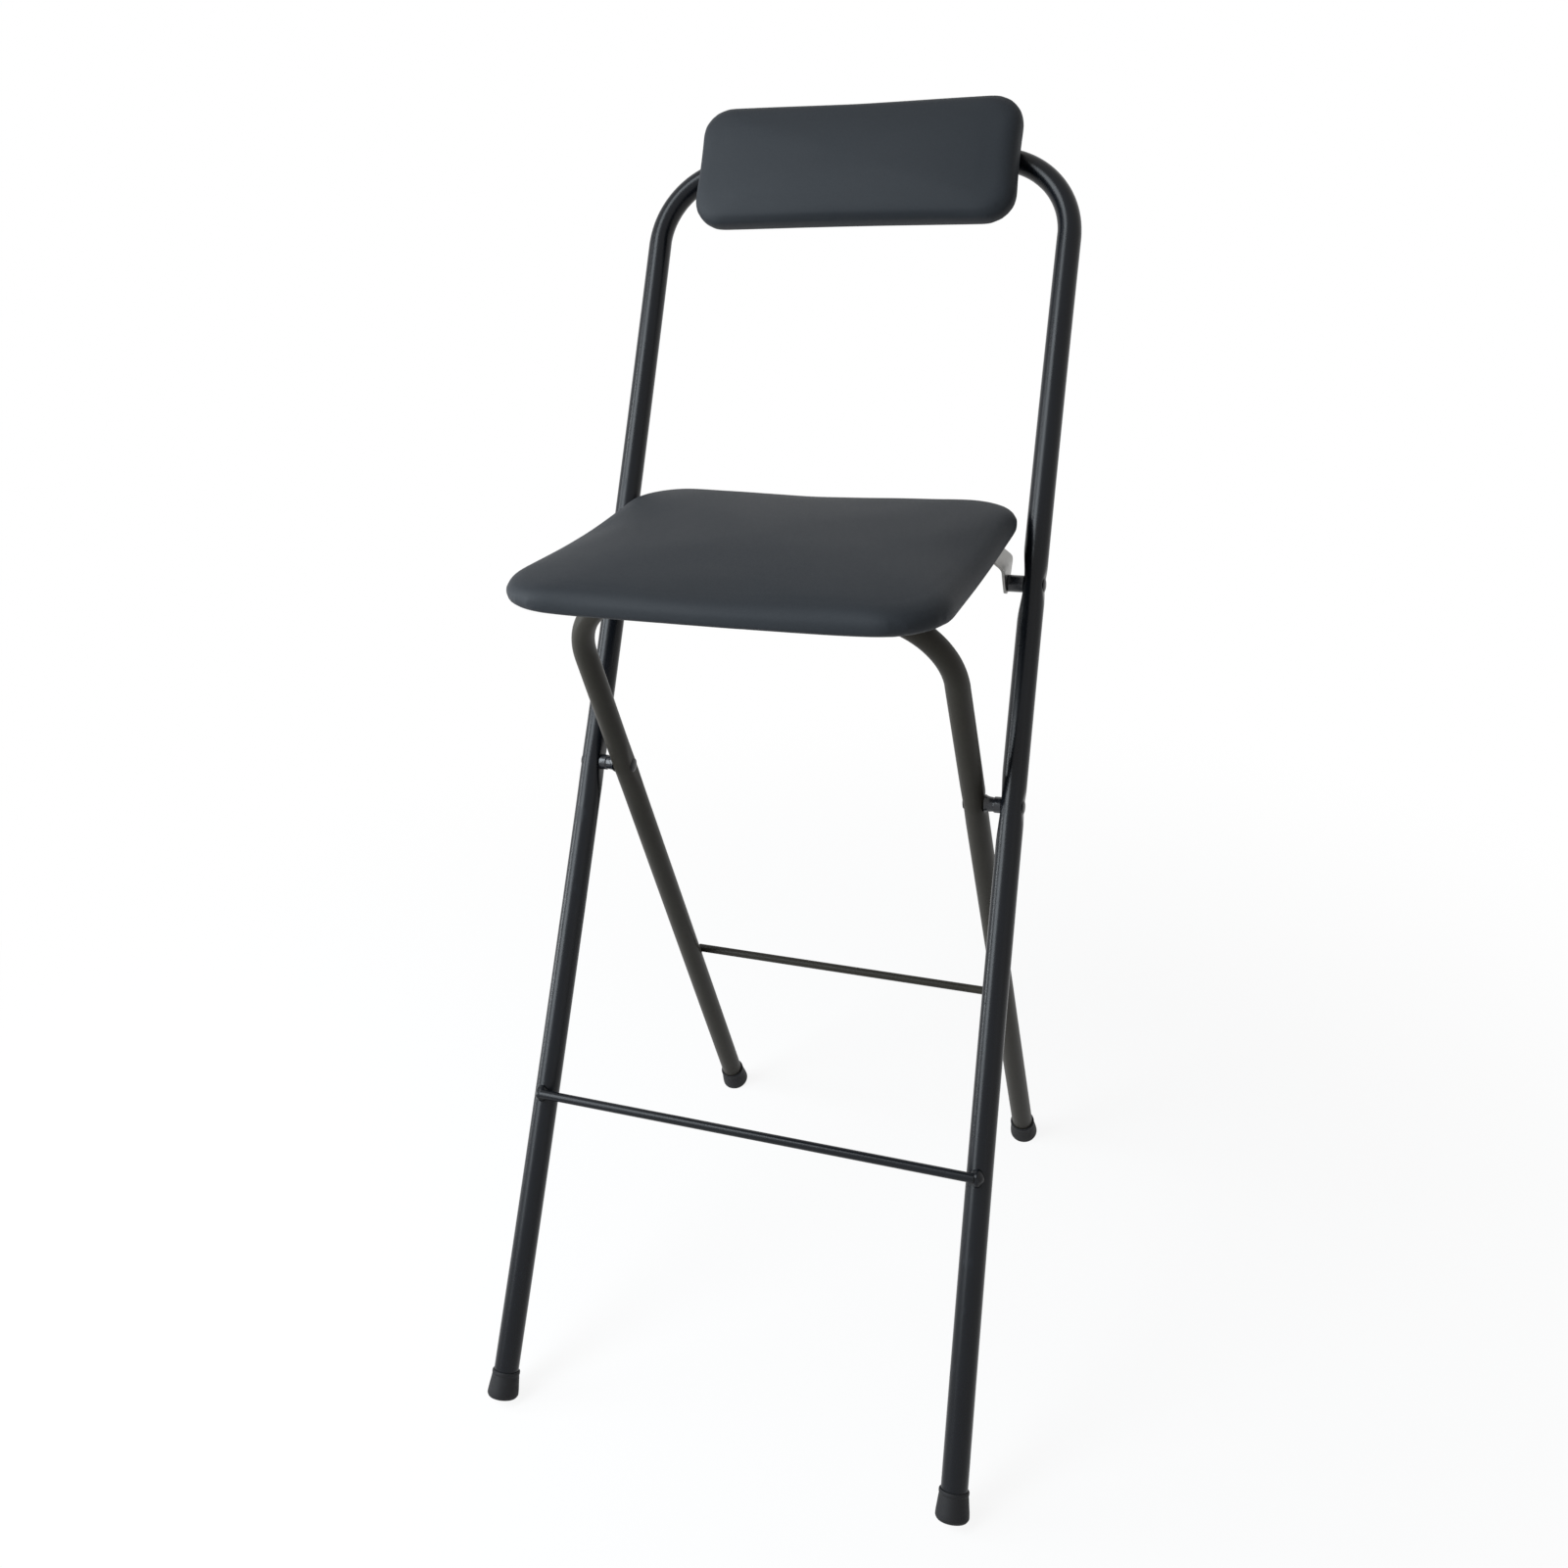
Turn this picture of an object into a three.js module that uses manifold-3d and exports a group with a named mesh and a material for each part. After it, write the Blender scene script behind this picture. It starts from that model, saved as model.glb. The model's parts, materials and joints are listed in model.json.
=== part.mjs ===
// Folding bar stool with a padded back rest.
// Millimetres, +Z up, the sitter faces -Y. Left and right are as seen from the front, so left is -X.
// The origin is on the floor, under the middle of the standing stool.
// The back frame is one bent tube: front legs, uprights and top bar. The rear legs are a narrower bent
// tube that turns on two pins inside it. The seat turns on two brackets and lies on the rear legs'
// crossbar, which is free to drop out of its saddles as the stool folds.

import * as THREE from 'three';
import { mergeVertices } from 'three/addons/utils/BufferGeometryUtils.js';
import Module from 'manifold-3d';

const wasm = await Module();
wasm.setup();

// Clearances shared by every piece
const seatGap = 0.3; // between pieces that touch
const pinGap = 0.3; // round every pin, screw and bolt
const overrun = 6; // how far a cut runs past the piece
const sideClearance = 4; // seat cushion to the uprights

// Back frame tube
const lean = THREE.MathUtils.degToRad(30.2); // uprights from the vertical, top to the rear
const uprightRadius = 11;
const uprightWall = 1.2;
const waistHalfSpan = 200; // middle plane to the tube's axis where the uprights are closest
const waistDistance = 650; // floor to the waist along the upright, as are all distances below
const spread = 5.2; // how much wider the frame is, each side, one spread reach from the waist
const spreadReach = 600;
const topBarDistance = 1167;
const topBendRadius = 76.5;

// Rear legs tube
const rearLean = THREE.MathUtils.degToRad(20.65); // rear legs from the vertical, foot to the rear
const rearRadius = 10.5;
const rearWall = 1.2;
const legSideGap = 11.08; // uprights' inner side to the rear legs' outer side, at the pivots
const crossbarBendRadius = 74;
const legPivotDistance = 575.5;

// Cross rods, welded on the outer faces of the legs
const rodRadius = 4;
const footrestDistance = 270.7;
const footrestEndSetback = 6; // rod end to the outer side of the tube
const rearRodReach = 300; // leg pivot to the rear rod along the rear leg
const rearRodEndSetback = 6;

// Rubber caps, the same on all four legs
const capTopRadius = 12.4;
const capFootRadius = 13.9;
const capHeight = 23;
const capEdge = 1.6; // bevel round the foot
const capRim = 1; // bevel round the mouth
const capFloor = 4; // rubber under the tube's end
const capFlat = 2.4; // height of the foot's edge that bears flat on the floor

// Leg pivots
const legPinRadius = 4;
const pinHeadRadius = 7;
const pinHeadHeight = 1.6;
const bushCollarRadius = 7;
const bushCollarLength = 4.4;
const bushBodyRadius = 6.2;

// Seat hinges
const seatHingeDistance = 769.2;
const seatPinRadius = 4;
const seatSpacerRadius = 7.5;
const bracketSideGap = 11; // uprights' inner side to the bracket's outer face
const bracketGauge = 2.5;
const bracketFoot = 8; // hinge axis down to the bracket's lower edge
const bracketBendRise = 18.4; // hinge axis up to the bend
const bracketSlopeRun = 28; // how far the slope goes inwards
const bracketFlangeRun = 24; // flat flange under the seat
const bracketFootFront = 10.5; // widths of the outline, ahead of and behind the hinge axis
const bracketFootRear = 10;
const bracketHeadFront = 18;
const bracketHeadRear = 22;
const bracketShoulderRise = 5; // hinge axis up to where the outline widens at the rear
const bracketScrewSpacing = 24;

// Seat
const seatPitch = THREE.MathUtils.degToRad(1.2); // fall of the seat towards the rear
const seatRise = 41.4; // hinge axis to the underside, square to the seat
const seatRearOverhang = 45.5; // hinge axis to the rear edge
const seatDepth = 314;
const seatCorner = 48;
const seatEdgeHeight = 23;
const seatCrown = 7.5;
const seatRollShare = 0.52; // soft edge round the top, of the edge's height
const seatUnderShare = 0.36; // soft edge round the underside, of the edge's height
const seatDrawIn = 1.2; // how far the sides are pulled in between the corners
const seatBoardThickness = 8;

// Crossbar saddles under the seat
const saddleGauge = 1.2;
const saddleWidth = 26;
const saddleBendGap = 4; // crossbar's bends to the saddles
const saddleTail = 28; // crossbar axis to the rear end of the plate
const saddleLip = 12; // depth of the lip ahead of the crossbar
const saddleLipGap = 0.5;
const saddleScrewSetback = 20; // crossbar axis to the screws
const saddleScrewSpacing = 14;

// Back rest
const padDrop = 12; // top bar's axis down to the back rest's middle
const padWidth = 308;
const padHeight = 115;
const padCorner = 26;
const padEdgeHeight = 31;
const padCrown = 5;
const padRollShare = 0.42; // as for the seat
const padUnderShare = 0.26; // as for the seat
const padDrawIn = 0.8;
const padBoardThickness = 9;
const padBoltOffset = 80; // middle plane to each bolt
const padBoltRadius = 3;
const padBoltHeadRadius = 6;
const padBoltHeadHeight = 3;
const padBoltTipSetback = 1.5; // bolt tip to the front of its insert
const insertRadius = 4.8;

// Upholstery shared by both cushions
const coverThickness = 1.2;
const linerThickness = 1; // fabric panel on the underside
const coverTurnIn = 22; // cover turned in under the cushion, past the board's edge
const boardInset = 13; // cushion's side to its board

// Wood screws
const screwRadius = 1.9;
const screwHeadRadius = 3.6;
const screwHeadHeight = 2.2;
const screwTipSetback = 1; // screw tip to the board's upper face

// Facets
const tubeSides = 16;
const turnedSides = 24;
const smallTurnedSides = 12;
const waistedLegSteps = 5;
const straightLegSteps = 1;
const bendSteps = 8;
const cornerSteps = 6;
const sideSteps = 5;
const topRingShares = [0.3, 0.6, 0.82, 1];
const rollSteps = 3;
const underSteps = 3;

// Places worked out from the sizes above
const sides = [
  { name: 'left', sign: -1 },
  { name: 'right', sign: 1 },
];
const legPivotHeight = legPivotDistance * Math.cos(lean);
const uprightHalfSpan = (place) => waistHalfSpan + spread * ((place - waistDistance) / spreadReach) ** 2;
const uprightSlope = (place) => 2 * spread * (place - waistDistance) / spreadReach ** 2;
const uprightInside = (place) => uprightHalfSpan(place) - uprightRadius;
const rearHalfSpan = uprightInside(legPivotDistance) - legSideGap - rearRadius;
const saddleOffset = rearHalfSpan - crossbarBendRadius - saddleBendGap - saddleWidth / 2;
const capStand = (tilt) => (capFootRadius * Math.sin(Math.abs(tilt)) - capFlat) / Math.cos(tilt);
const rearLegReach = legPivotHeight / Math.cos(rearLean);
const seatHalfWidth = waistHalfSpan - uprightRadius - sideClearance;
const seatHalfDepth = seatDepth / 2;
const boardBase = coverThickness + seatGap; // cushion's underside to its board
const bracketFace = uprightInside(seatHingeDistance) - bracketSideGap;

// The brackets and saddles lie under the seat, and the crossbar where the rear legs' line meets the saddles
const plateTop = seatRise - seatGap;
const crossbarDrop = plateTop - saddleGauge - seatGap - rearRadius;
const legPivot = new THREE.Vector3(0, legPivotDistance * Math.sin(lean), legPivotHeight);
const seatHinge = new THREE.Vector3(0, Math.sin(lean), Math.cos(lean)).multiplyScalar(seatHingeDistance);
const rearLegUp = new THREE.Vector3(0, -Math.sin(rearLean), Math.cos(rearLean));
const seatUp = new THREE.Vector3(0, Math.sin(seatPitch), Math.cos(seatPitch));
const seatBack = new THREE.Vector3(0, Math.cos(seatPitch), -Math.sin(seatPitch));
const hingeToPivot = legPivot.clone().sub(seatHinge);
const crossbarReach = (crossbarDrop - hingeToPivot.dot(seatUp)) / rearLegUp.dot(seatUp);
const crossbarPlace = hingeToPivot.clone().addScaledVector(rearLegUp, crossbarReach).dot(seatBack);

// Materials
function finish(color, roughness, metalness) {
  return () => new THREE.MeshStandardMaterial({ color, roughness, metalness });
}

const framePaint = finish(0x14161a, 0.32, 0.3);
const rearPaint = finish(0x24221f, 0.4, 0.3);
const blackRubber = finish(0x18181a, 0.75, 0);
const blackVinyl = finish(0x2a2f35, 0.55, 0);
const paleFoam = finish(0xd9cfa8, 0.95, 0);
const plywood = finish(0xb58b5c, 0.8, 0);
const blackFabric = finish(0x1b1b1d, 0.95, 0);
const blackNylon = finish(0x15161a, 0.35, 0);
const zincSteel = finish(0x9a9b9d, 0.38, 0.9);

function piece(name, geometry, material) {
  const mesh = new THREE.Mesh(geometry, material());
  mesh.name = name;
  return mesh;
}

// Joining and cutting closed meshes
function toSolid(geometry) {
  const bare = geometry.clone();
  bare.deleteAttribute('normal');
  bare.deleteAttribute('uv');
  const merged = mergeVertices(bare);
  const vertProperties = new Float32Array(merged.attributes.position.array);
  const triVerts = new Uint32Array(merged.index.array);
  return new wasm.Manifold(new wasm.Mesh({ numProp: 3, vertProperties, triVerts }));
}

function toGeometry(solid) {
  const mesh = solid.getMesh();
  const geometry = new THREE.BufferGeometry();
  geometry.setAttribute('position', new THREE.BufferAttribute(new Float32Array(mesh.vertProperties), 3));
  geometry.setIndex(new THREE.BufferAttribute(new Uint32Array(mesh.triVerts), 1));
  geometry.computeVertexNormals();
  return geometry;
}

function subtract(geometry, cutters) {
  let solid = toSolid(geometry);
  for (const cutter of cutters) {
    solid = solid.subtract(toSolid(cutter));
  }
  return toGeometry(solid);
}

function intersect(geometry, other) {
  return toGeometry(toSolid(geometry).intersect(toSolid(other)));
}

// The same piece for the other side of the stool
function mirrorAcross(geometry) {
  const mirrored = geometry.clone().scale(-1, 1, 1);
  const index = mirrored.index.array;
  for (let corner = 0; corner < index.length; corner += 3) {
    [index[corner], index[corner + 1]] = [index[corner + 1], index[corner]];
  }
  mirrored.computeVertexNormals();
  return mirrored;
}

// Round bars and turned pieces
function barAlongX(radius, length) {
  return new THREE.CylinderGeometry(radius, radius, length, smallTurnedSides).rotateZ(Math.PI / 2);
}

function barAlongZ(radius, length) {
  return new THREE.CylinderGeometry(radius, radius, length, smallTurnedSides).rotateX(Math.PI / 2);
}

function turned(outline, segments) {
  const points = outline.map(([radius, height]) => new THREE.Vector2(radius, height));
  return new THREE.LatheGeometry(points, segments);
}

// A rivet along +Y, its shank from 0 to the grip and a domed head outside each end
function rivet(radius, headRadius, headHeight, grip) {
  const domeShare = 0.55;
  const crown = headRadius * domeShare;
  const shoulder = headHeight * domeShare;
  return turned([
    [0, -headHeight],
    [crown, -headHeight],
    [headRadius, shoulder - headHeight],
    [headRadius, 0],
    [radius, 0],
    [radius, grip],
    [headRadius, grip],
    [headRadius, grip + headHeight - shoulder],
    [crown, grip + headHeight],
    [0, grip + headHeight],
  ], smallTurnedSides);
}

// A screw or bolt along +Y, its head below 0 and its tip at the length
function screw(radius, headRadius, headHeight, length) {
  const domeShare = 0.6;
  return turned([
    [0, -headHeight],
    [headRadius * domeShare, -headHeight],
    [headRadius, -headHeight * domeShare],
    [headRadius, 0],
    [radius, 0],
    [radius, length - radius],
    [0, length],
  ], smallTurnedSides);
}

// A ring along +Y from 0 to the length
function ring(innerRadius, outerRadius, length) {
  return turned([
    [innerRadius, 0],
    [outerRadius, 0],
    [outerRadius, length],
    [innerRadius, length],
    [innerRadius, 0],
  ], turnedSides);
}

// Bent tubes: a curve that stands only on its stations, so rings lie only where the bend needs them
class StationCurve extends THREE.Curve {
  constructor(stations) {
    super();
    this.stations = stations;
  }

  station(share) {
    return this.stations[Math.round(share * (this.stations.length - 1))];
  }

  getPoint(share, target = new THREE.Vector3()) {
    return target.copy(this.station(share).point);
  }

  getPointAt(share, target) {
    return this.getPoint(share, target);
  }

  getTangent(share, target = new THREE.Vector3()) {
    return target.copy(this.station(share).tangent);
  }

  getTangentAt(share, target) {
    return this.getTangent(share, target);
  }
}

function circlePoints(radius) {
  const points = [];
  for (let index = 0; index < tubeSides; index += 1) {
    const angle = 2 * Math.PI * index / tubeSides;
    points.push(new THREE.Vector2(radius * Math.cos(angle), radius * Math.sin(angle)));
  }
  return points;
}

function bentTube(stations, radius, wall) {
  const section = new THREE.Shape(circlePoints(radius));
  section.holes.push(new THREE.Path(circlePoints(radius - wall).reverse()));
  return new THREE.ExtrudeGeometry(section, {
    steps: stations.length - 1,
    extrudePath: new StationCurve(stations),
    bevelEnabled: false,
  });
}

// The stations of a U turned upside down, in its own plane: X across, Y up the legs.
// The right leg runs from its end up to the bend, and the left side mirrors it.
function archStations(endPlace, barPlace, bendRadius, legSteps, halfSpanAt, slopeAt) {
  const stations = [];
  const tilt = Math.atan(slopeAt(barPlace - bendRadius));
  const bendPlace = barPlace - bendRadius * (1 + Math.sin(tilt));
  for (let step = 0; step <= legSteps; step += 1) {
    const place = THREE.MathUtils.lerp(endPlace, bendPlace, step / legSteps);
    stations.push({
      point: new THREE.Vector3(halfSpanAt(place), place, 0),
      tangent: new THREE.Vector3(slopeAt(place), 1, 0).normalize(),
    });
  }
  const centreX = halfSpanAt(bendPlace) - bendRadius * Math.cos(tilt);
  const centreY = bendPlace + bendRadius * Math.sin(tilt);
  for (let step = 1; step <= bendSteps; step += 1) {
    const heading = tilt - (tilt + Math.PI / 2) * step / bendSteps;
    const x = centreX + bendRadius * Math.cos(heading);
    const y = centreY - bendRadius * Math.sin(heading);
    stations.push({
      point: new THREE.Vector3(x, y, 0),
      tangent: new THREE.Vector3(Math.sin(heading), Math.cos(heading), 0),
    });
  }
  const mirrored = stations.map(({ point, tangent }) => ({
    point: new THREE.Vector3(-point.x, point.y, 0),
    tangent: new THREE.Vector3(tangent.x, -tangent.y, 0),
  }));
  return stations.concat(mirrored.reverse());
}

// Bent sheet: an outline that follows the sheet's outer face and keeps the gauge on its right
function stripOutline(face, gauge) {
  const inner = face.map((point, index) => {
    const before = face[Math.max(index - 1, 0)];
    const after = face[Math.min(index + 1, face.length - 1)];
    const arriving = index > 0 ? point.clone().sub(before).normalize() : after.clone().sub(point).normalize();
    const leaving = index < face.length - 1 ? after.clone().sub(point).normalize() : arriving;
    const mitre = arriving.clone().add(leaving).normalize();
    const reach = gauge / mitre.dot(arriving);
    return new THREE.Vector2(point.x + mitre.y * reach, point.y - mitre.x * reach);
  });
  return face.concat(inner.reverse());
}

function bentSheet(face, gauge, width) {
  const shape = new THREE.Shape(stripOutline(face, gauge));
  return new THREE.ExtrudeGeometry(shape, { depth: width, bevelEnabled: false }).translate(0, 0, -width / 2);
}

// Cushions: rings of a rounded rectangle whose sides are drawn in between the corners
function cushionOutline(form, inset, share) {
  const corner = form.corner - inset * form.corner / form.halfHeight;
  const reachX = form.halfWidth - inset - corner;
  const reachY = form.halfHeight - inset - corner;
  const points = [];
  for (let quarter = 0; quarter < 4; quarter += 1) {
    const start = quarter * Math.PI / 2;
    const centreX = quarter === 0 || quarter === 3 ? reachX : -reachX;
    const centreY = quarter < 2 ? reachY : -reachY;
    for (let step = 0; step <= cornerSteps; step += 1) {
      const angle = start + step / cornerSteps * Math.PI / 2;
      points.push(new THREE.Vector2(centreX + corner * Math.cos(angle), centreY + corner * Math.sin(angle)));
    }
    const outward = new THREE.Vector2(0, 1).rotateAround(new THREE.Vector2(), start);
    const along = new THREE.Vector2(-outward.y, outward.x).negate();
    const run = quarter % 2 === 0 ? reachX : reachY;
    const rise = (quarter % 2 === 0 ? reachY : reachX) + corner;
    for (let step = 1; step < sideSteps; step += 1) {
      const place = 1 - 2 * step / sideSteps;
      const reach = rise - form.drawIn * (1 - place * place);
      points.push(outward.clone().multiplyScalar(reach).addScaledVector(along, place * run));
    }
  }
  return points.map((point) => point.multiplyScalar(share));
}

function cushionRing(form, inset, height, share = 1) {
  return cushionOutline(form, inset, share).map((point) => new THREE.Vector3(point.x, point.y, height));
}

// The crowned top and the soft edge of a cushion, offset inwards by a skin, from the middle outwards
function crownRings(form, skin) {
  const roll = form.roll;
  const rings = topRingShares.map((share) => {
    const height = form.edgeHeight + form.crown * (1 - share * share) - skin;
    return cushionRing(form, roll, height, share);
  });
  for (let step = 1; step <= rollSteps; step += 1) {
    const turn = step / rollSteps * Math.PI / 2;
    const inset = roll - (roll - skin) * Math.sin(turn);
    const height = form.edgeHeight - skin - (roll - skin) * (1 - Math.cos(turn));
    rings.push(cushionRing(form, inset, height));
  }
  return rings;
}

// The soft edge of a cushion's underside, offset inwards by a skin, from the side inwards
function underRings(form, skin) {
  const roll = form.underRoll;
  const rings = [];
  for (let step = 0; step <= underSteps; step += 1) {
    const turn = step / underSteps * Math.PI / 2;
    const inset = roll - (roll - skin) * Math.cos(turn);
    const height = roll - (roll - skin) * Math.sin(turn);
    rings.push(cushionRing(form, inset, height));
  }
  return rings;
}

// A closed body through rings of equal count, its first and last ring closed to their middles
function ringBody(rings) {
  const count = rings[0].length;
  const positions = [];
  const index = [];
  for (const loop of rings) {
    for (const point of loop) {
      positions.push(point.x, point.y, point.z);
    }
  }
  for (let level = 0; level < rings.length - 1; level += 1) {
    for (let corner = 0; corner < count; corner += 1) {
      const next = (corner + 1) % count;
      const near = level * count;
      const far = near + count;
      index.push(near + corner, far + corner, far + next);
      index.push(near + corner, far + next, near + next);
    }
  }
  const last = (rings.length - 1) * count;
  const firstMiddle = positions.length / 3;
  positions.push(0, 0, rings[0][0].z + rings[0].rise);
  const lastMiddle = firstMiddle + 1;
  positions.push(0, 0, rings[rings.length - 1][0].z + rings[rings.length - 1].rise);
  for (let corner = 0; corner < count; corner += 1) {
    const next = (corner + 1) % count;
    index.push(firstMiddle, corner, next);
    index.push(lastMiddle, last + next, last + corner);
  }
  const geometry = new THREE.BufferGeometry();
  geometry.setAttribute('position', new THREE.Float32BufferAttribute(positions, 3));
  geometry.setIndex(index);
  geometry.computeVertexNormals();
  return geometry;
}

// How far a ring's middle stands above the ring itself
function withRise(loop, rise) {
  return Object.assign(loop, { rise });
}

function cushionCover(form) {
  const crownRise = form.crown * topRingShares[0] ** 2;
  const outside = crownRings(form, 0);
  const inside = crownRings(form, coverThickness);
  withRise(outside[0], crownRise);
  withRise(inside[0], crownRise);
  return ringBody([
    ...outside,
    ...underRings(form, 0),
    cushionRing(form, coverTurnIn, 0),
    cushionRing(form, coverTurnIn, coverThickness),
    ...underRings(form, coverThickness).reverse(),
    ...inside.reverse(),
  ]);
}

// The foam lies on the board and wraps round its edge
function cushionFoam(form) {
  const top = crownRings(form, boardBase);
  const pocketInset = boardInset - seatGap;
  const pocketHeight = boardBase + form.boardThickness + seatGap;
  withRise(top[0], form.crown * topRingShares[0] ** 2);
  return ringBody([
    ...top,
    ...underRings(form, boardBase),
    cushionRing(form, pocketInset, boardBase),
    withRise(cushionRing(form, pocketInset, pocketHeight), 0),
  ]);
}

function flatPanel(form, inset, thickness, holes) {
  const shape = new THREE.Shape(cushionOutline(form, inset, 1));
  for (const { x, y, radius } of holes) {
    const outline = circlePoints(radius).map((point) => point.add(new THREE.Vector2(x, y)));
    shape.holes.push(new THREE.Path(outline.reverse()));
  }
  return new THREE.ExtrudeGeometry(shape, { depth: thickness, bevelEnabled: false });
}

function cushionBoard(form, holes) {
  return flatPanel(form, boardInset, form.boardThickness, holes).translate(0, 0, boardBase);
}

function cushionLiner(form, holes) {
  return flatPanel(form, coverTurnIn + seatGap, linerThickness, holes);
}

// Rubber cap along +Y, its foot at 0, before its edge is flattened by the floor
function capBody(tubeRadius) {
  const bore = tubeRadius + seatGap;
  return turned([
    [0, 0],
    [capFootRadius - capEdge, 0],
    [capFootRadius, capEdge],
    [capTopRadius, capHeight - capRim],
    [capTopRadius - capRim, capHeight],
    [bore, capHeight],
    [bore, capFloor],
    [0, capFloor],
  ], turnedSides);
}

// A cap on a leg that leans by a tilt and runs inwards by a slope, its foot's low edge cut flat at the floor
function footCap(tubeRadius, tilt, slope) {
  const stand = capStand(tilt);
  const reach = 2 * (capFootRadius + overrun);
  const ground = new THREE.BoxGeometry(reach, reach, overrun);
  ground.translate(0, 0, -overrun / 2);
  ground.rotateX(tilt - Math.PI / 2);
  return subtract(capBody(tubeRadius).rotateZ(-Math.atan(slope)).translate(0, stand, 0), [ground]);
}

// Back frame, in its own plane: X across, Y up the uprights from the floor, Z square to the front
function buildOuterFrame() {
  const end = capStand(lean) + capFloor + seatGap;
  const stations = archStations(
    end,
    topBarDistance,
    topBendRadius,
    waistedLegSteps,
    uprightHalfSpan,
    uprightSlope,
  );
  const drill = 2 * (uprightRadius + overrun);
  const cutters = [];
  for (const { sign } of sides) {
    const legX = sign * uprightHalfSpan(legPivotDistance);
    const seatX = sign * uprightHalfSpan(seatHingeDistance);
    cutters.push(barAlongX(legPinRadius + pinGap, drill).translate(legX, legPivotDistance, 0));
    cutters.push(barAlongX(seatPinRadius + pinGap, drill).translate(seatX, seatHingeDistance, 0));
    const bolt = barAlongZ(padBoltRadius + pinGap, drill);
    cutters.push(bolt.translate(sign * padBoltOffset, topBarDistance, 0));
  }
  return piece('outer_frame', subtract(bentTube(stations, uprightRadius, uprightWall), cutters), framePaint);
}

function buildFootrestRod() {
  const halfLength = uprightHalfSpan(footrestDistance) + uprightRadius - footrestEndSetback;
  const rod = barAlongX(rodRadius, 2 * halfLength);
  rod.translate(0, footrestDistance, uprightRadius + seatGap + rodRadius);
  return piece('footrest_rod', rod, framePaint);
}

function buildFrontCap({ name, sign }) {
  const foot = capStand(lean);
  const cap = footCap(uprightRadius, lean, sign * uprightSlope(foot));
  cap.translate(sign * uprightHalfSpan(foot), 0, 0);
  return piece(`front_cap_${name}`, cap, blackRubber);
}

// A piece turned along +Y, laid across the stool with its foot at an inner place, pointing outwards
function layOutwards(geometry, sign, innerX, place) {
  return geometry.rotateZ(-sign * Math.PI / 2).translate(sign * innerX, place, 0);
}

function buildLegPin({ name, sign }) {
  const outer = uprightHalfSpan(legPivotDistance) + uprightRadius + seatGap;
  const inner = rearHalfSpan - rearRadius - seatGap;
  const pin = rivet(legPinRadius, pinHeadRadius, pinHeadHeight, outer - inner);
  return piece(`leg_pin_${name}`, layOutwards(pin, sign, inner, legPivotDistance), framePaint);
}

function buildLegBush({ name, sign }) {
  const outer = uprightInside(legPivotDistance) - seatGap;
  const inner = rearHalfSpan + rearRadius + seatGap;
  const length = outer - inner;
  const bore = legPinRadius + pinGap;
  const bush = turned([
    [bore, 0],
    [bushBodyRadius, 0],
    [bushBodyRadius, length - bushCollarLength],
    [bushCollarRadius, length - bushCollarLength],
    [bushCollarRadius, length],
    [bore, length],
    [bore, 0],
  ], turnedSides);
  return piece(`leg_bush_${name}`, layOutwards(bush, sign, inner, legPivotDistance), blackNylon);
}

function buildSeatPin({ name, sign }) {
  const outer = uprightHalfSpan(seatHingeDistance) + uprightRadius + seatGap;
  const inner = bracketFace - bracketGauge - seatGap;
  const pin = rivet(seatPinRadius, pinHeadRadius, pinHeadHeight, outer - inner);
  return piece(`seat_pin_${name}`, layOutwards(pin, sign, inner, seatHingeDistance), framePaint);
}

function buildSeatSpacer({ name, sign }) {
  const outer = uprightInside(seatHingeDistance) - seatGap;
  const inner = bracketFace + seatGap;
  const spacer = ring(seatPinRadius + pinGap, seatSpacerRadius, outer - inner);
  return piece(`seat_spacer_${name}`, layOutwards(spacer, sign, inner, seatHingeDistance), blackNylon);
}

// Back rest, on the front of the top bar
const padBoardTop = boardBase + padBoardThickness;
const padForm = {
  halfWidth: padWidth / 2,
  halfHeight: padHeight / 2,
  corner: padCorner,
  edgeHeight: padEdgeHeight,
  crown: padCrown,
  roll: padEdgeHeight * padRollShare,
  underRoll: padEdgeHeight * padUnderShare,
  drawIn: padDrawIn,
  boardThickness: padBoardThickness,
};

function buildBackRest() {
  const rest = new THREE.Group();
  rest.position.set(0, topBarDistance - padDrop, uprightRadius + seatGap);
  const holesOf = (radius) => sides.map(({ sign }) => ({ x: sign * padBoltOffset, y: padDrop, radius }));
  rest.add(piece('back_cover', cushionCover(padForm), blackVinyl));
  rest.add(piece('back_foam', cushionFoam(padForm), paleFoam));
  rest.add(piece('back_board', cushionBoard(padForm, holesOf(insertRadius + pinGap)), plywood));
  rest.add(piece('back_liner', cushionLiner(padForm, holesOf(padBoltRadius + pinGap)), blackFabric));
  const headPlace = -seatGap - 2 * uprightRadius - seatGap;
  const tipPlace = padBoardTop - padBoltTipSetback;
  for (const { name, sign } of sides) {
    const bolt = screw(padBoltRadius, padBoltHeadRadius, padBoltHeadHeight, tipPlace - headPlace);
    bolt.rotateX(Math.PI / 2).translate(sign * padBoltOffset, padDrop, headPlace);
    rest.add(piece(`back_bolt_${name}`, bolt, framePaint));
    const insert = ring(padBoltRadius + pinGap, insertRadius, padBoardThickness);
    insert.rotateX(Math.PI / 2).translate(sign * padBoltOffset, padDrop, boardBase);
    rest.add(piece(`back_insert_${name}`, insert, zincSteel));
  }
  return rest;
}

function buildBackFrame() {
  const frame = new THREE.Group();
  frame.rotation.x = Math.PI / 2 - lean;
  frame.add(buildOuterFrame());
  frame.add(buildFootrestRod());
  for (const side of sides) {
    frame.add(buildFrontCap(side));
    frame.add(buildLegPin(side));
    frame.add(buildLegBush(side));
    frame.add(buildSeatPin(side));
    frame.add(buildSeatSpacer(side));
  }
  frame.add(buildBackRest());
  return frame;
}

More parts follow.
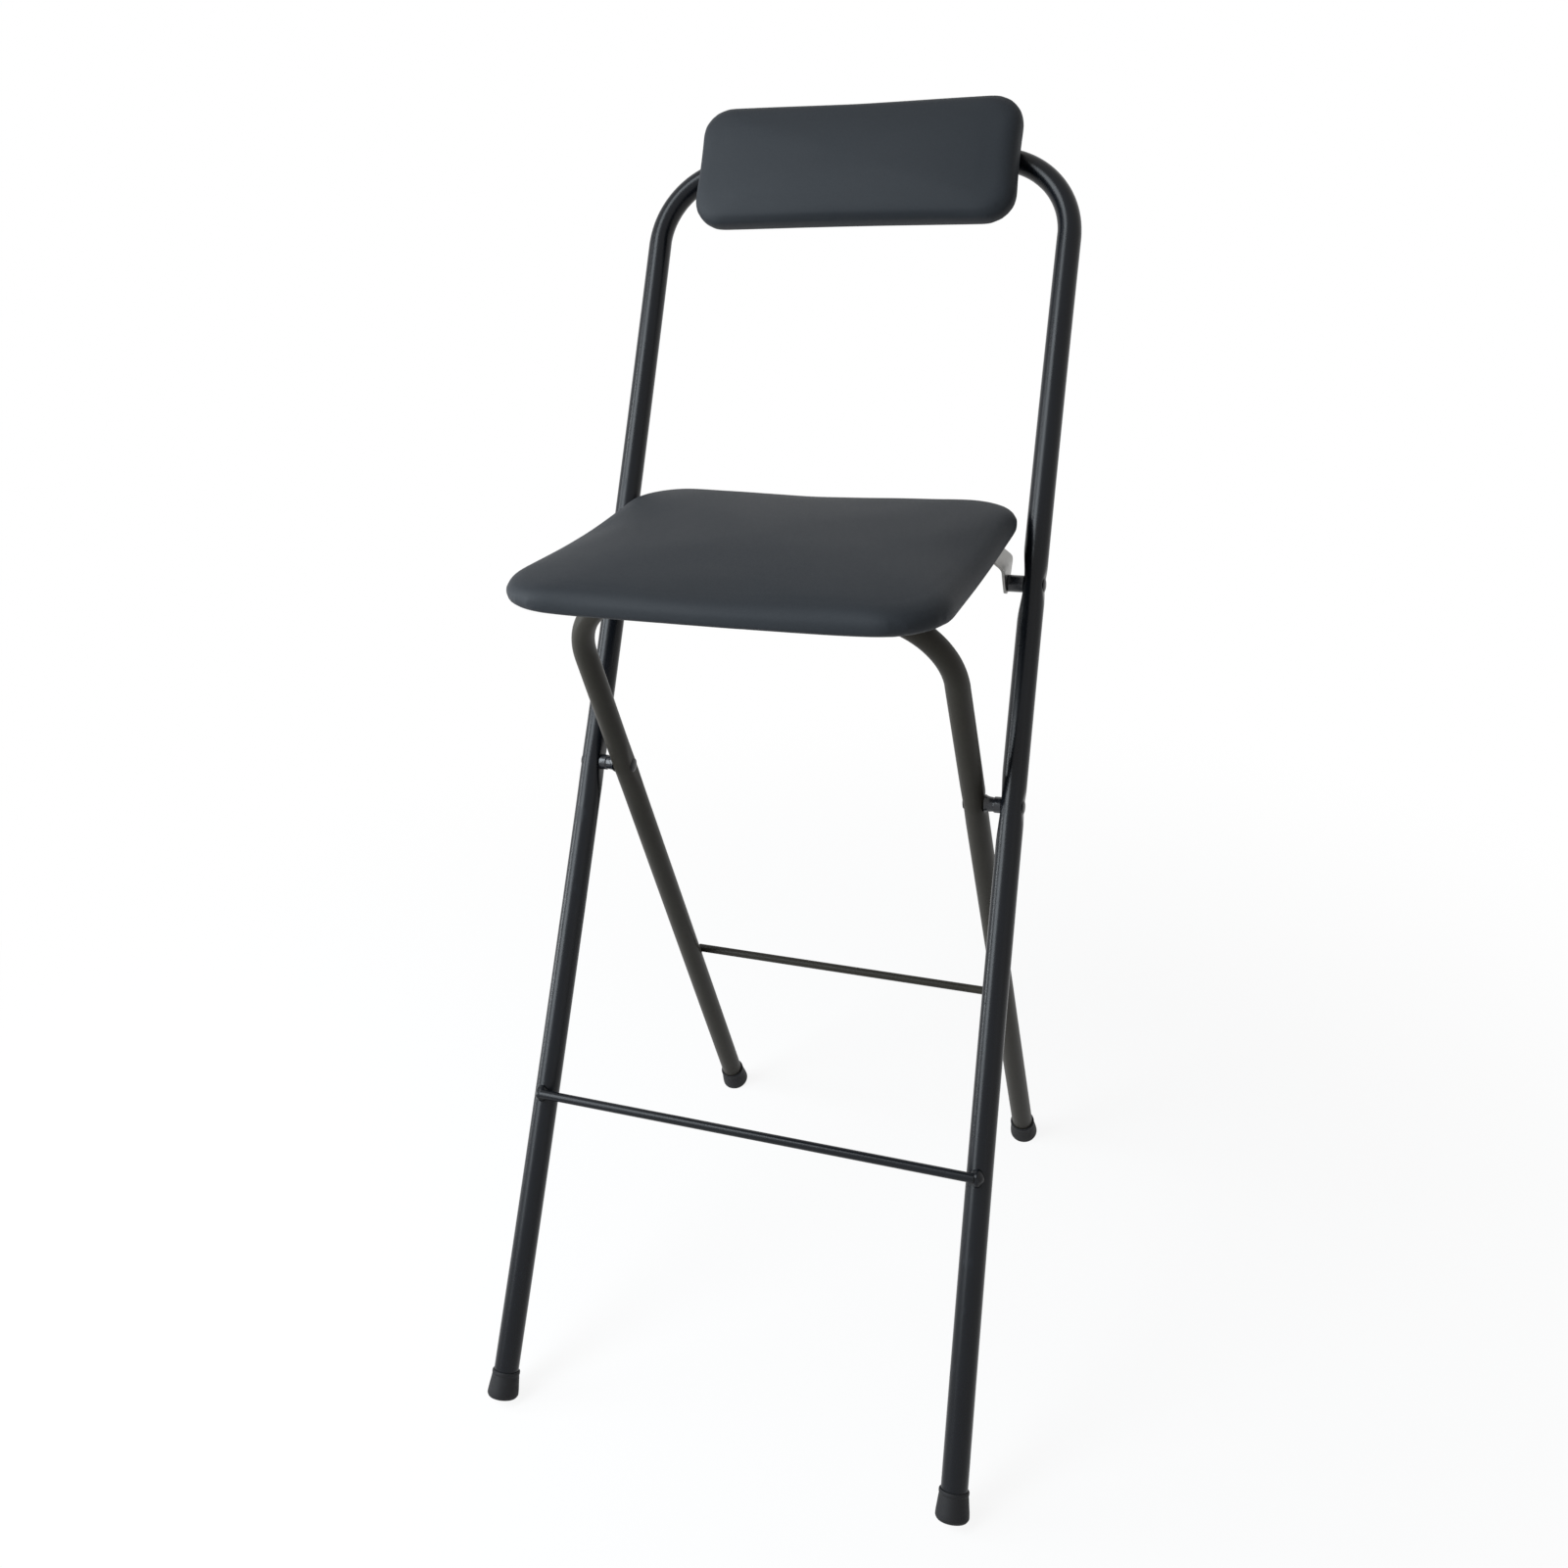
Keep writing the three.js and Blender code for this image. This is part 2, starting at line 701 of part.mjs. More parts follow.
// Rear legs, in their own plane from the leg pivots: X across, Y up the legs, Z square to the front
function buildInnerFrame() {
  const end = capStand(rearLean) + capFloor + seatGap - rearLegReach;
  const stations = archStations(
    end,
    crossbarReach,
    crossbarBendRadius,
    straightLegSteps,
    () => rearHalfSpan,
    () => 0,
  );
  const drill = 2 * (rearRadius + overrun);
  const cutters = sides.map(({ sign }) => (
    barAlongX(legPinRadius + pinGap, drill).translate(sign * rearHalfSpan, 0, 0)
  ));
  return piece('inner_frame', subtract(bentTube(stations, rearRadius, rearWall), cutters), rearPaint);
}

function buildRearRod() {
  const halfLength = rearHalfSpan + rearRadius - rearRodEndSetback;
  const rod = barAlongX(rodRadius, 2 * halfLength);
  rod.translate(0, -rearRodReach, -rearRadius - seatGap - rodRadius);
  return piece('rear_rod', rod, rearPaint);
}

function buildRearCap({ name, sign }) {
  const cap = footCap(rearRadius, -rearLean, 0).translate(sign * rearHalfSpan, -rearLegReach, 0);
  return piece(`rear_cap_${name}`, cap, blackRubber);
}

function buildRearLegs() {
  const legs = new THREE.Group();
  legs.position.copy(legPivot);
  legs.rotation.x = Math.PI / 2 + rearLean;
  legs.add(buildInnerFrame());
  legs.add(buildRearRod());
  for (const side of sides) {
    legs.add(buildRearCap(side));
  }
  return legs;
}

// Seat, from its hinge axis: X across, Y to the rear along the seat, Z square to it
const seatBoardTop = boardBase + seatBoardThickness;
const seatForm = {
  halfWidth: seatHalfWidth,
  halfHeight: seatHalfDepth,
  corner: seatCorner,
  edgeHeight: seatEdgeHeight,
  crown: seatCrown,
  roll: seatEdgeHeight * seatRollShare,
  underRoll: seatEdgeHeight * seatUnderShare,
  drawIn: seatDrawIn,
  boardThickness: seatBoardThickness,
};
const seatMiddle = seatRearOverhang - seatHalfDepth;
const flangeScrewPlace = bracketFace - bracketSlopeRun - bracketFlangeRun / 2;

function bracketScrewPlaces(sign) {
  return ['front', 'rear'].map((end, index) => ({
    end,
    x: sign * flangeScrewPlace,
    y: (index - 1 / 2) * bracketScrewSpacing,
  }));
}

function saddleScrewPlaces(sign) {
  return ['inner', 'outer'].map((end, index) => ({
    end,
    x: sign * (saddleOffset + (index - 1 / 2) * saddleScrewSpacing),
    y: crossbarPlace + saddleScrewSetback,
  }));
}

function buildSeatBracket({ name, sign }) {
  const bendX = bracketFace - bracketSlopeRun;
  const face = [
    new THREE.Vector2(bendX - bracketFlangeRun, plateTop),
    new THREE.Vector2(bendX, plateTop),
    new THREE.Vector2(bracketFace, bracketBendRise),
    new THREE.Vector2(bracketFace, -bracketFoot),
  ];
  const sheet = bentSheet(face, bracketGauge, 2 * (bracketHeadRear + overrun)).rotateX(Math.PI / 2);
  const outline = new THREE.Shape([
    new THREE.Vector2(-bracketHeadFront, plateTop + overrun),
    new THREE.Vector2(-bracketHeadFront, bracketBendRise + bracketGauge),
    new THREE.Vector2(-bracketFootFront, -bracketFoot / 2),
    new THREE.Vector2(-bracketFootFront / 2, -bracketFoot),
    new THREE.Vector2(bracketFootRear / 2, -bracketFoot),
    new THREE.Vector2(bracketFootRear, -bracketFoot / 2),
    new THREE.Vector2(bracketFootRear, bracketShoulderRise),
    new THREE.Vector2(bracketHeadRear, bracketBendRise + bracketGauge),
    new THREE.Vector2(bracketHeadRear, plateTop + overrun),
  ]);
  const blank = new THREE.ExtrudeGeometry(outline, { depth: seatHalfWidth, bevelEnabled: false });
  blank.rotateX(Math.PI / 2).rotateZ(Math.PI / 2);
  const pinHole = barAlongX(seatPinRadius + pinGap, 2 * overrun).translate(bracketFace, 0, 0);
  const screwHoles = bracketScrewPlaces(1).map(({ x, y }) => (
    barAlongZ(screwRadius + pinGap, 2 * overrun).translate(x, y, plateTop)
  ));
  const bracket = subtract(intersect(sheet, blank), [pinHole, ...screwHoles]);
  return piece(`seat_bracket_${name}`, sign < 0 ? mirrorAcross(bracket) : bracket, zincSteel);
}

function buildSaddle({ name, sign }) {
  const lipFace = crossbarPlace - rearRadius - saddleLipGap - saddleGauge;
  const face = [
    new THREE.Vector2(lipFace, plateTop - saddleLip),
    new THREE.Vector2(lipFace, plateTop),
    new THREE.Vector2(crossbarPlace + saddleTail, plateTop),
  ];
  const sheet = bentSheet(face, saddleGauge, saddleWidth).rotateX(Math.PI / 2).rotateZ(Math.PI / 2);
  sheet.translate(sign * saddleOffset, 0, 0);
  const holes = saddleScrewPlaces(sign).map(({ x, y }) => (
    barAlongZ(screwRadius + pinGap, 2 * overrun).translate(x, y, plateTop)
  ));
  return piece(`saddle_${name}`, subtract(sheet, holes), zincSteel);
}

function buildScrew(name, { end, x, y }, plateBottom) {
  const headPlace = plateBottom - seatGap;
  const length = seatRise + seatBoardTop - screwTipSetback - headPlace;
  const body = screw(screwRadius, screwHeadRadius, screwHeadHeight, length);
  body.rotateX(Math.PI / 2).translate(x, y, headPlace);
  return piece(`${name}_${end}`, body, zincSteel);
}

function buildSeatCushion() {
  const cushion = new THREE.Group();
  cushion.position.set(0, seatMiddle, seatRise);
  const holes = sides.flatMap(({ sign }) => (
    [...bracketScrewPlaces(sign), ...saddleScrewPlaces(sign)].map(({ x, y }) => (
      { x, y: y - seatMiddle, radius: screwRadius + pinGap }
    ))
  ));
  cushion.add(piece('seat_cover', cushionCover(seatForm), blackVinyl));
  cushion.add(piece('seat_foam', cushionFoam(seatForm), paleFoam));
  cushion.add(piece('seat_board', cushionBoard(seatForm, holes), plywood));
  cushion.add(piece('seat_liner', cushionLiner(seatForm, holes), blackFabric));
  return cushion;
}

function buildSeat() {
  const seat = new THREE.Group();
  seat.position.copy(seatHinge);
  seat.rotation.x = -seatPitch;
  seat.add(buildSeatCushion());
  for (const side of sides) {
    seat.add(buildSeatBracket(side));
    seat.add(buildSaddle(side));
    for (const place of bracketScrewPlaces(side.sign)) {
      seat.add(buildScrew(`bracket_screw_${side.name}`, place, plateTop - bracketGauge));
    }
    for (const place of saddleScrewPlaces(side.sign)) {
      seat.add(buildScrew(`saddle_screw_${side.name}`, place, plateTop - saddleGauge));
    }
  }
  return seat;
}

// The stool, moved along Y so that the middle of its footprint stands over the origin
const stool = new THREE.Group();
stool.add(buildBackFrame());
stool.add(buildRearLegs());
stool.add(buildSeat());
stool.updateMatrixWorld(true);
stool.position.y = -new THREE.Box3().setFromObject(stool, true).getCenter(new THREE.Vector3()).y;

export default stool;
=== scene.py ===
"""Folding bar stool with a padded back rest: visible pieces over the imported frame, and a plain studio.

Metres, +Z up, the sitter faces -Y. Left and right are as seen from the front, so left is -X.
"""

import json
import math
import random

import bmesh
import bpy
from bpy.props import FloatProperty, FloatVectorProperty, PointerProperty
from mathutils import Matrix, Vector, noise


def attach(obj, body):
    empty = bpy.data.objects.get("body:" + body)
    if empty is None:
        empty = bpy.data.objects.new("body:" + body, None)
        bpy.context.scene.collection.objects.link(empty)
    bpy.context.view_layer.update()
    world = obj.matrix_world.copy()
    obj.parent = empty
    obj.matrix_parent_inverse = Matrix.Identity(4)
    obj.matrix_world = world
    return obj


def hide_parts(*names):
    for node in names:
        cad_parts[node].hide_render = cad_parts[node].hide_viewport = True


bl_info = {
    "name": "Folding Bar Stool",
    "version": (1, 0, 0),
    "blender": (4, 5, 0),
    "location": "3D View > Sidebar > Stool",
    "description": "Builds the tubes, cushions and fittings of a folding bar stool over its frame",
    "category": "Object",
}

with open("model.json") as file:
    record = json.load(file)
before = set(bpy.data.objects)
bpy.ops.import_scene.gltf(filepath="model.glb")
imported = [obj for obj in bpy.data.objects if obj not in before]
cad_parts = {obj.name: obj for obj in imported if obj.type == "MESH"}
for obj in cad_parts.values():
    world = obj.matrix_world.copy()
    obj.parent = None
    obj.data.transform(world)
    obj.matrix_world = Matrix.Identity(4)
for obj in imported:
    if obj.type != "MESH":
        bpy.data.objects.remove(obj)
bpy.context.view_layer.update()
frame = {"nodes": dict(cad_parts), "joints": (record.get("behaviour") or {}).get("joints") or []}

MM = 0.001
SIDES = {"left": -1, "right": 1}

# Places taken from the frame: both hinges lie on the uprights, so they give the uprights' lean
hinge_places = {joint["name"]: Vector(joint["pos_m"]) for joint in frame["joints"]}
leg_pivot = hinge_places["legs_fold"]
seat_hinge = hinge_places["seat_fold"]
lean = math.atan2(seat_hinge.y - leg_pivot.y, seat_hinge.z - leg_pivot.z)
leg_pivot_place = leg_pivot.z / math.cos(lean)
seat_hinge_place = seat_hinge.z / math.cos(lean)
frame_foot = Vector((0, leg_pivot.y - leg_pivot_place * math.sin(lean), 0))
rear_lean = math.radians(20.65)
rear_reach = leg_pivot.z / math.cos(rear_lean)
seat_pitch = math.radians(1.2)

# Each group is made in its own plane: X across, Y along the tubes or to the rear, Z square to them
BACK_PLANE = Matrix.Translation(frame_foot) @ Matrix.Rotation(math.pi / 2 - lean, 4, "X")
REAR_PLANE = Matrix.Translation(leg_pivot) @ Matrix.Rotation(math.pi / 2 + rear_lean, 4, "X")
SEAT_PLANE = Matrix.Translation(seat_hinge) @ Matrix.Rotation(-seat_pitch, 4, "X")


def length_property(name, description, default):
    """A size that a user may change, in metres."""
    return FloatProperty(
        name=name, description=description, default=default, min=0, unit="LENGTH", precision=4
    )


def angle_property(name, description, degrees):
    """An angle that a user may change."""
    return FloatProperty(
        name=name, description=description, default=math.radians(degrees),
        subtype="ANGLE", unit="ROTATION",
    )


def strength_property(name, description, default):
    """The strength of a light that a user may change."""
    return FloatProperty(name=name, description=description, default=default, min=0)


def colour_property(name, description, default):
    """A linear colour that a user may change."""
    return FloatVectorProperty(
        name=name, description=description, default=default, size=3, min=0, max=1, subtype="COLOR"
    )


class StoolTubes(bpy.types.PropertyGroup):
    """Sizes of the bent tubes and the rods."""

    upright_radius: length_property("Upright radius", "Outer radius of the back frame's tube", 0.011)
    waist_half_span: length_property("Waist half span", "Middle plane to the uprights' waist", 0.2)
    waist_place: length_property("Waist place", "Floor to the waist along the uprights", 0.65)
    spread: length_property("Spread", "Widening of each side one spread reach from the waist", 0.0052)
    spread_reach: length_property("Spread reach", "Distance over which the spread is measured", 0.6)
    top_bar_place: length_property("Top bar place", "Floor to the top bar along the uprights", 1.167)
    top_bend: length_property("Top bend", "Bend radius of the top corners", 0.0765)
    rear_radius: length_property("Rear leg radius", "Outer radius of the rear legs' tube", 0.0105)
    rear_half_span: length_property("Rear half span", "Middle plane to the rear legs", 0.1675)
    crossbar_place: length_property("Crossbar place", "Leg pivot to the crossbar along the legs", 0.21388)
    crossbar_bend: length_property("Crossbar bend", "Bend radius of the crossbar's corners", 0.074)
    rod_radius: length_property("Rod radius", "Radius of the footrest rod and the rear rod", 0.004)
    footrest_place: length_property("Footrest place", "Floor to the footrest along the uprights", 0.2707)
    rear_rod_place: length_property("Rear rod place", "Leg pivot to the rear rod along the legs", 0.3)
    rod_setback: length_property("Rod setback", "Rod end to the outer side of its tube", 0.012)
    dent_depth: length_property("Dent depth", "Flattening of the tubes at their pivots", 0.0042)
    dent_reach: length_property("Dent reach", "Half length of a flattened stretch", 0.036)


class StoolCushions(bpy.types.PropertyGroup):
    """Sizes of the seat and the back rest."""

    seat_width: length_property("Seat width", "Seat from side to side", 0.37)
    seat_depth: length_property("Seat depth", "Seat from front to rear", 0.314)
    seat_corner: length_property("Seat corner", "Corner radius of the seat", 0.048)
    seat_edge: length_property("Seat edge", "Height of the seat's edge", 0.023)
    seat_crown: length_property("Seat crown", "Rise of the seat's middle over its edge", 0.0075)
    seat_rise: length_property("Seat rise", "Seat hinge axis to the seat's underside", 0.0414)
    seat_overhang: length_property("Seat overhang", "Seat hinge axis to the rear edge", 0.0455)
    pad_width: length_property("Back rest width", "Back rest from side to side", 0.308)
    pad_height: length_property("Back rest height", "Back rest from bottom to top", 0.115)
    pad_corner: length_property("Back rest corner", "Corner radius of the back rest", 0.026)
    pad_edge: length_property("Back rest edge", "Depth of the back rest's edge", 0.031)
    pad_crown: length_property("Back rest crown", "Rise of the back rest's middle over its edge", 0.005)
    pad_place: length_property("Back rest place", "Floor to its middle along the uprights", 1.155)
    roll: length_property("Roll", "Width of the soft edge round the top", 0.0125)
    under_roll: length_property("Under roll", "Width of the soft edge round the underside", 0.008)
    draw_in: length_property("Draw in", "How far the sides are pulled in between the corners", 0.001)
    turn_in: length_property("Turn in", "Cover turned in under the cushion", 0.022)
    ease: length_property("Ease", "How far the cover starts outside its sides", 0.0025)
    sink: length_property("Sink", "How far the cover starts under its top", 0.0006)
    swell: length_property("Swell", "How far the padding may move the cover", 0.003)
    pinch: FloatProperty(
        name="Pinch", description="How much thinner the corners are than the middle of the edges",
        default=0.15, min=0, max=1, subtype="FACTOR",
    )


class StoolColours(bpy.types.PropertyGroup):
    """Colours of the finishes."""

    frame_paint: colour_property("Frame paint", "Powder coat of the back frame", (0.004, 0.005, 0.007))
    rear_paint: colour_property("Rear paint", "Powder coat of the rear legs", (0.0185, 0.0165, 0.0125))
    vinyl: colour_property("Vinyl", "Cover of the seat and the back rest", (0.0125, 0.0155, 0.0195))
    rubber: colour_property("Rubber", "Foot caps", (0.009, 0.009, 0.01))
    nylon: colour_property("Nylon", "Bushes and spacers", (0.008, 0.009, 0.012))
    zinc: colour_property("Zinc", "Brackets, saddles and screws", (0.25, 0.245, 0.235))
    lining: colour_property("Lining", "Non-woven panels under the cushions", (0.02, 0.02, 0.021))
    plywood: colour_property("Plywood", "Boards inside the cushions", (0.5, 0.34, 0.18))
    floor: colour_property("Floor", "Studio floor", (0.9, 0.9, 0.9))


class StoolStudio(bpy.types.PropertyGroup):
    """Camera and lamps."""

    camera_place: FloatVectorProperty(
        name="Camera place", description="Where the camera stands", default=(0.45351, -1.16977, 1.13114),
        size=3, subtype="TRANSLATION", unit="LENGTH",
    )
    camera_azimuth: angle_property("Camera azimuth", "Turn of the view from +Y towards -X", 21.6046)
    camera_elevation: angle_property("Camera elevation", "How far the view looks down", 20.0213)
    camera_roll: angle_property("Camera roll", "Turn of the camera about its view", -3.979)
    camera_shift: FloatVectorProperty(
        name="Camera shift", description="Shift that the photograph's framing needs, in frame widths",
        default=(0.0074, -0.1193), size=2,
    )
    lens: FloatProperty(
        name="Lens", description="Focal length on a 36 mm sensor", default=35.38, unit="CAMERA"
    )
    window_power: strength_property("Window power", "Tall soft lamp at the front left, in watts", 68)
    side_power: strength_property("Side power", "Narrow lamp on the left, in watts", 24)
    fill_power: strength_property("Fill power", "Soft lamp on the right, in watts", 1)
    top_power: strength_property("Top power", "Soft lamp overhead, in watts", 2)
    world_strength: strength_property("World strength", "Even light from all round", 0.13)


# Shader expressions
class Value:
    """A node's output, so that arithmetic on it adds Math nodes."""

    def __init__(self, surface, socket):
        self.surface = surface
        self.socket = socket

    def __add__(self, other):
        return self.surface.math("ADD", self, other)

    def __sub__(self, other):
        return self.surface.math("SUBTRACT", self, other)

    def __rsub__(self, other):
        return self.surface.math("SUBTRACT", other, self)

    def __mul__(self, other):
        return self.surface.math("MULTIPLY", self, other)

    __radd__ = __add__
    __rmul__ = __mul__


class Surface:
    """The node tree of one material or world."""

    def __init__(self, owner):
        self.owner = owner
        owner.use_nodes = True
        self.tree = owner.node_tree
        self.tree.nodes.clear()

    def node(self, kind, settings=None, sockets=None, output=0):
        """Adds a node: its settings first, then the values or links of its sockets."""
        node = self.tree.nodes.new(kind)
        for name, value in (settings or {}).items():
            setattr(node, name, value)
        for name, value in (sockets or {}).items():
            if isinstance(value, Value):
                self.tree.links.new(value.socket, node.inputs[name])
            else:
                node.inputs[name].default_value = value
        return Value(self, node.outputs[output]) if node.outputs else None

    def math(self, operation, *operands):
        """A Math node on numbers and values."""
        return self.node("ShaderNodeMath", {"operation": operation}, dict(enumerate(operands)))

    def place(self):
        """The point on the piece, in metres of the frame."""
        return self.node("ShaderNodeTexCoord", output="Object")

    def stretched(self, scale):
        """The point with its axes scaled, for grain that runs one way."""
        return self.node("ShaderNodeVectorMath", {"operation": "MULTIPLY"}, {0: self.place(), 1: scale})

    def noise(self, scale, detail=3.0, where=None):
        """Cloudy noise from 0 to 1; scale counts its lumps over a metre."""
        sockets = {"Vector": where or self.place(), "Scale": scale, "Detail": detail}
        return self.node("ShaderNodeTexNoise", None, sockets)

    def cells(self, scale, where=None):
        """Distance to the edges of small cells."""
        sockets = {"Vector": where or self.place(), "Scale": scale}
        return self.node("ShaderNodeTexVoronoi", {"feature": "DISTANCE_TO_EDGE"}, sockets)

    def between(self, value, low, high):
        """0 below low, 1 above high and smooth between them."""
        sockets = {"Value": value, "From Min": low, "From Max": high}
        return self.node("ShaderNodeMapRange", {"interpolation_type": "SMOOTHSTEP"}, sockets)

    def mix(self, factor, first, second):
        """A blend of two colours."""
        settings = {"data_type": "RGBA"}
        sockets = {0: factor, 6: opaque(first), 7: opaque(second)}
        return self.node("ShaderNodeMix", settings, sockets, output=2)

    def bump(self, height, strength, distance):
        """A bent normal; distance is the height of the bumps in metres."""
        sockets = {"Height": height, "Strength": strength, "Distance": distance}
        return self.node("ShaderNodeBump", None, sockets)

    def seen(self):
        """1 for the rays that show the studio and 0 for those that light the stool."""
        camera, glossy, transmission = (
            self.node("ShaderNodeLightPath", output=name)
            for name in ("Is Camera Ray", "Is Glossy Ray", "Is Transmission Ray")
        )
        return self.math("MAXIMUM", camera, self.math("MAXIMUM", glossy, transmission))

    def finish(self, **sockets):
        """Closes the tree with a Principled shader."""
        named = {name.replace("_", " "): value for name, value in sockets.items()}
        shader = self.node("ShaderNodeBsdfPrincipled", None, named)
        self.node("ShaderNodeOutputMaterial", None, {"Surface": shader})
        return self.owner


def opaque(colour):
    """A colour with its alpha, or the link as it is."""
    return colour if isinstance(colour, Value) else (*colour, 1)


def shade(colour, factor):
    """A colour made lighter or darker."""
    return tuple(min(1.0, channel * factor) for channel in colour)


# Finishes
def powder_coat(surface, colour, roughness, gloss):
    """Baked paint on tube: fine orange peel, faint dust and rubbed patches."""
    patches = surface.between(surface.noise(9.0), 0.42, 0.68)
    specks = surface.between(surface.noise(1500.0, 1.0), 0.62, 0.72)
    scuffs = surface.between(surface.noise(60.0, 6.0, surface.stretched((1.0, 1.0, 0.12))), 0.64, 0.7)
    tone = surface.mix(patches * 0.5, colour, shade(colour, 1.35))
    tone = surface.mix(specks * 0.35, tone, shade(colour, 2.2))
    tone = surface.mix(scuffs * 0.4, tone, shade(colour, 1.9))
    peel = surface.noise(260.0, 2.0) + surface.noise(1100.0, 1.0) * 0.12
    return surface.finish(
        Base_Color=tone,
        Roughness=roughness + patches * 0.05 + scuffs * 0.12,
        Specular_IOR_Level=gloss,
        Normal=surface.bump(peel, 0.1, 0.0001),
    )


def vinyl_cover(surface, colour):
    """Matt upholstery vinyl: fine pebbled grain with painted shade in the grooves between the pebbles,
    and broad faint tone changes.
    """
    sway = surface.node(
        "ShaderNodeTexNoise", None, {"Vector": surface.place(), "Scale": 300.0}, output="Color"
    )
    warp = surface.node(
        "ShaderNodeVectorMath", {"operation": "MULTIPLY_ADD"},
        {0: sway, 1: (0.0009, 0.0009, 0.0009), 2: surface.place()},
    )
    pebbles = surface.between(surface.cells(1150.0, warp), 0.0, 0.32)
    pores = surface.between(surface.noise(2600.0, 2.0), 0.35, 0.75)
    clouds = surface.between(surface.noise(7.0, 2.0), 0.35, 0.7)
    tone = surface.mix(clouds * 0.5, colour, shade(colour, 1.16))
    # painted shade: the grooves between the pebbles are darkened
    tone = surface.mix((1 - pebbles) * 0.4, tone, shade(colour, 0.68))
    return surface.finish(
        Base_Color=tone,
        Roughness=0.56 + clouds * 0.05 + (1 - pebbles) * 0.08,
        Specular_IOR_Level=0.22,
        Normal=surface.bump(pebbles + pores * 0.3, 0.35, 0.00011),
    )


def moulded_rubber(surface, colour):
    """Matt rubber with a dusty foot and fine mould texture."""
    dust = surface.between(surface.noise(160.0, 4.0), 0.5, 0.72)
    tone = surface.mix(dust * 0.6, colour, shade(colour, 2.3))
    return surface.finish(
        Base_Color=tone,
        Roughness=0.62 + dust * 0.18,
        Specular_IOR_Level=0.22,
        Normal=surface.bump(surface.noise(1900.0, 3.0), 0.3, 0.00012),
    )


def moulded_nylon(surface, colour):
    """Glossy black nylon."""
    flow = surface.noise(240.0, 3.0)
    return surface.finish(
        Base_Color=surface.mix(flow, colour, shade(colour, 1.5)),
        Roughness=0.2 + flow * 0.12,
        Specular_IOR_Level=0.5,
        Normal=surface.bump(surface.noise(900.0, 2.0), 0.15, 0.00008),
    )


def zinc_plate(surface, colour):
    """Pressed steel with a dull zinc coat: rolling marks and cloudy spangle."""
    spangle = surface.between(surface.noise(170.0, 4.0), 0.35, 0.7)
    marks = surface.noise(260.0, 4.0, surface.stretched((1.0, 0.06, 1.0)))
    stains = surface.between(surface.noise(75.0, 5.0), 0.56, 0.75)
    tone = surface.mix(spangle * 0.6, colour, shade(colour, 1.3))
    tone = surface.mix(stains * 0.5, tone, shade(colour, 0.5))
    return surface.finish(
        Base_Color=tone,
        Metallic=0.92 - stains * 0.2,
        Roughness=0.3 + spangle * 0.1 + stains * 0.16,
        Normal=surface.bump(marks, 0.18, 0.00008),
    )


def lining_cloth(surface, colour):
    """Non-woven lining: matted fibres pressed with small bond points."""
    fibres = surface.noise(2400.0, 5.0, surface.stretched((1.0, 0.35, 1.0)))
    points = surface.between(surface.cells(520.0), 0.02, 0.22)
    tone = surface.mix(fibres, shade(colour, 0.7), shade(colour, 1.9))
    return surface.finish(
        Base_Color=tone,
        Roughness=0.94,
        Specular_IOR_Level=0.2,
        Normal=surface.bump(fibres * 0.6 + points, 0.5, 0.0002),
    )


def plywood_board(surface, colour):
    """Plain plywood with long figure."""
    figure = surface.noise(26.0, 5.0, surface.stretched((0.12, 1.0, 1.0)))
    return surface.finish(
        Base_Color=surface.mix(surface.between(figure, 0.35, 0.65), colour, shade(colour, 0.62)),
        Roughness=0.7 + figure * 0.1,
        Normal=surface.bump(figure, 0.2, 0.0003),
    )


# Each slot's maker, its colour among the settings, and what else the maker takes
FINISHES = {
    "frame_paint": (powder_coat, "frame_paint", {"roughness": 0.26, "gloss": 0.21}),
    "rear_paint": (powder_coat, "rear_paint", {"roughness": 0.42, "gloss": 0.17}),
    "vinyl": (vinyl_cover, "vinyl", {}),
    "cap_rubber": (moulded_rubber, "rubber", {}),
    "nylon": (moulded_nylon, "nylon", {}),
    "zinc": (zinc_plate, "zinc", {}),
    "liner": (lining_cloth, "lining", {}),
    "plywood": (plywood_board, "plywood", {}),
}
finishes_made = {}


def finish_of(slot):
    """The slot's material, made the first time that it is asked for."""
    if slot not in finishes_made:
        maker, colour_name, extra = FINISHES[slot]
        colour = getattr(bpy.context.scene.stool_colours, colour_name)
        finishes_made[slot] = maker(Surface(bpy.data.materials.new(slot)), colour, **extra)
    return finishes_made[slot]


# Meshes
def add_piece(name, mesh, body, slot, replaces=(), sharp=38):
    """Puts a mesh that is already in place into the scene, on its body and with its finish."""
    mesh.shade_smooth()
    mesh.set_sharp_from_angle(angle=math.radians(sharp))
    piece = bpy.data.objects.new(name, mesh)
    bpy.context.scene.collection.objects.link(piece)
    piece.data.materials.append(finish_of(slot))
    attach(piece, body)
    if replaces:
        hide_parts(*replaces)
    return piece


def loft(name, rings, plane=Matrix.Identity(4)):
    """A closed mesh through rings of equal count, each end closed to its middle."""
    shape = bmesh.new()
    loops = [[shape.verts.new(point) for point in ring] for ring in rings]
    for near, far in zip(loops, loops[1:]):
        for index, corner in enumerate(near):
            after = (index + 1) % len(near)
            shape.faces.new((corner, near[after], far[after], far[index]))
    for loop in (loops[0], loops[-1]):
        middle = shape.verts.new(sum((corner.co for corner in loop), Vector()) / len(loop))
        for index, corner in enumerate(loop):
            shape.faces.new((corner, loop[(index + 1) % len(loop)], middle))
    bmesh.ops.recalc_face_normals(shape, faces=shape.faces)
    return to_mesh(name, shape, plane)


def to_mesh(name, shape, plane=Matrix.Identity(4)):
    """The finished shape as a mesh, laid in its plane and kept right side out where that mirrors it."""
    mesh = bpy.data.meshes.new(name)
    shape.transform(plane)
    if plane.determinant() < 0:
        bmesh.ops.reverse_faces(shape, faces=shape.faces)
    shape.to_mesh(mesh)
    shape.free()
    return mesh


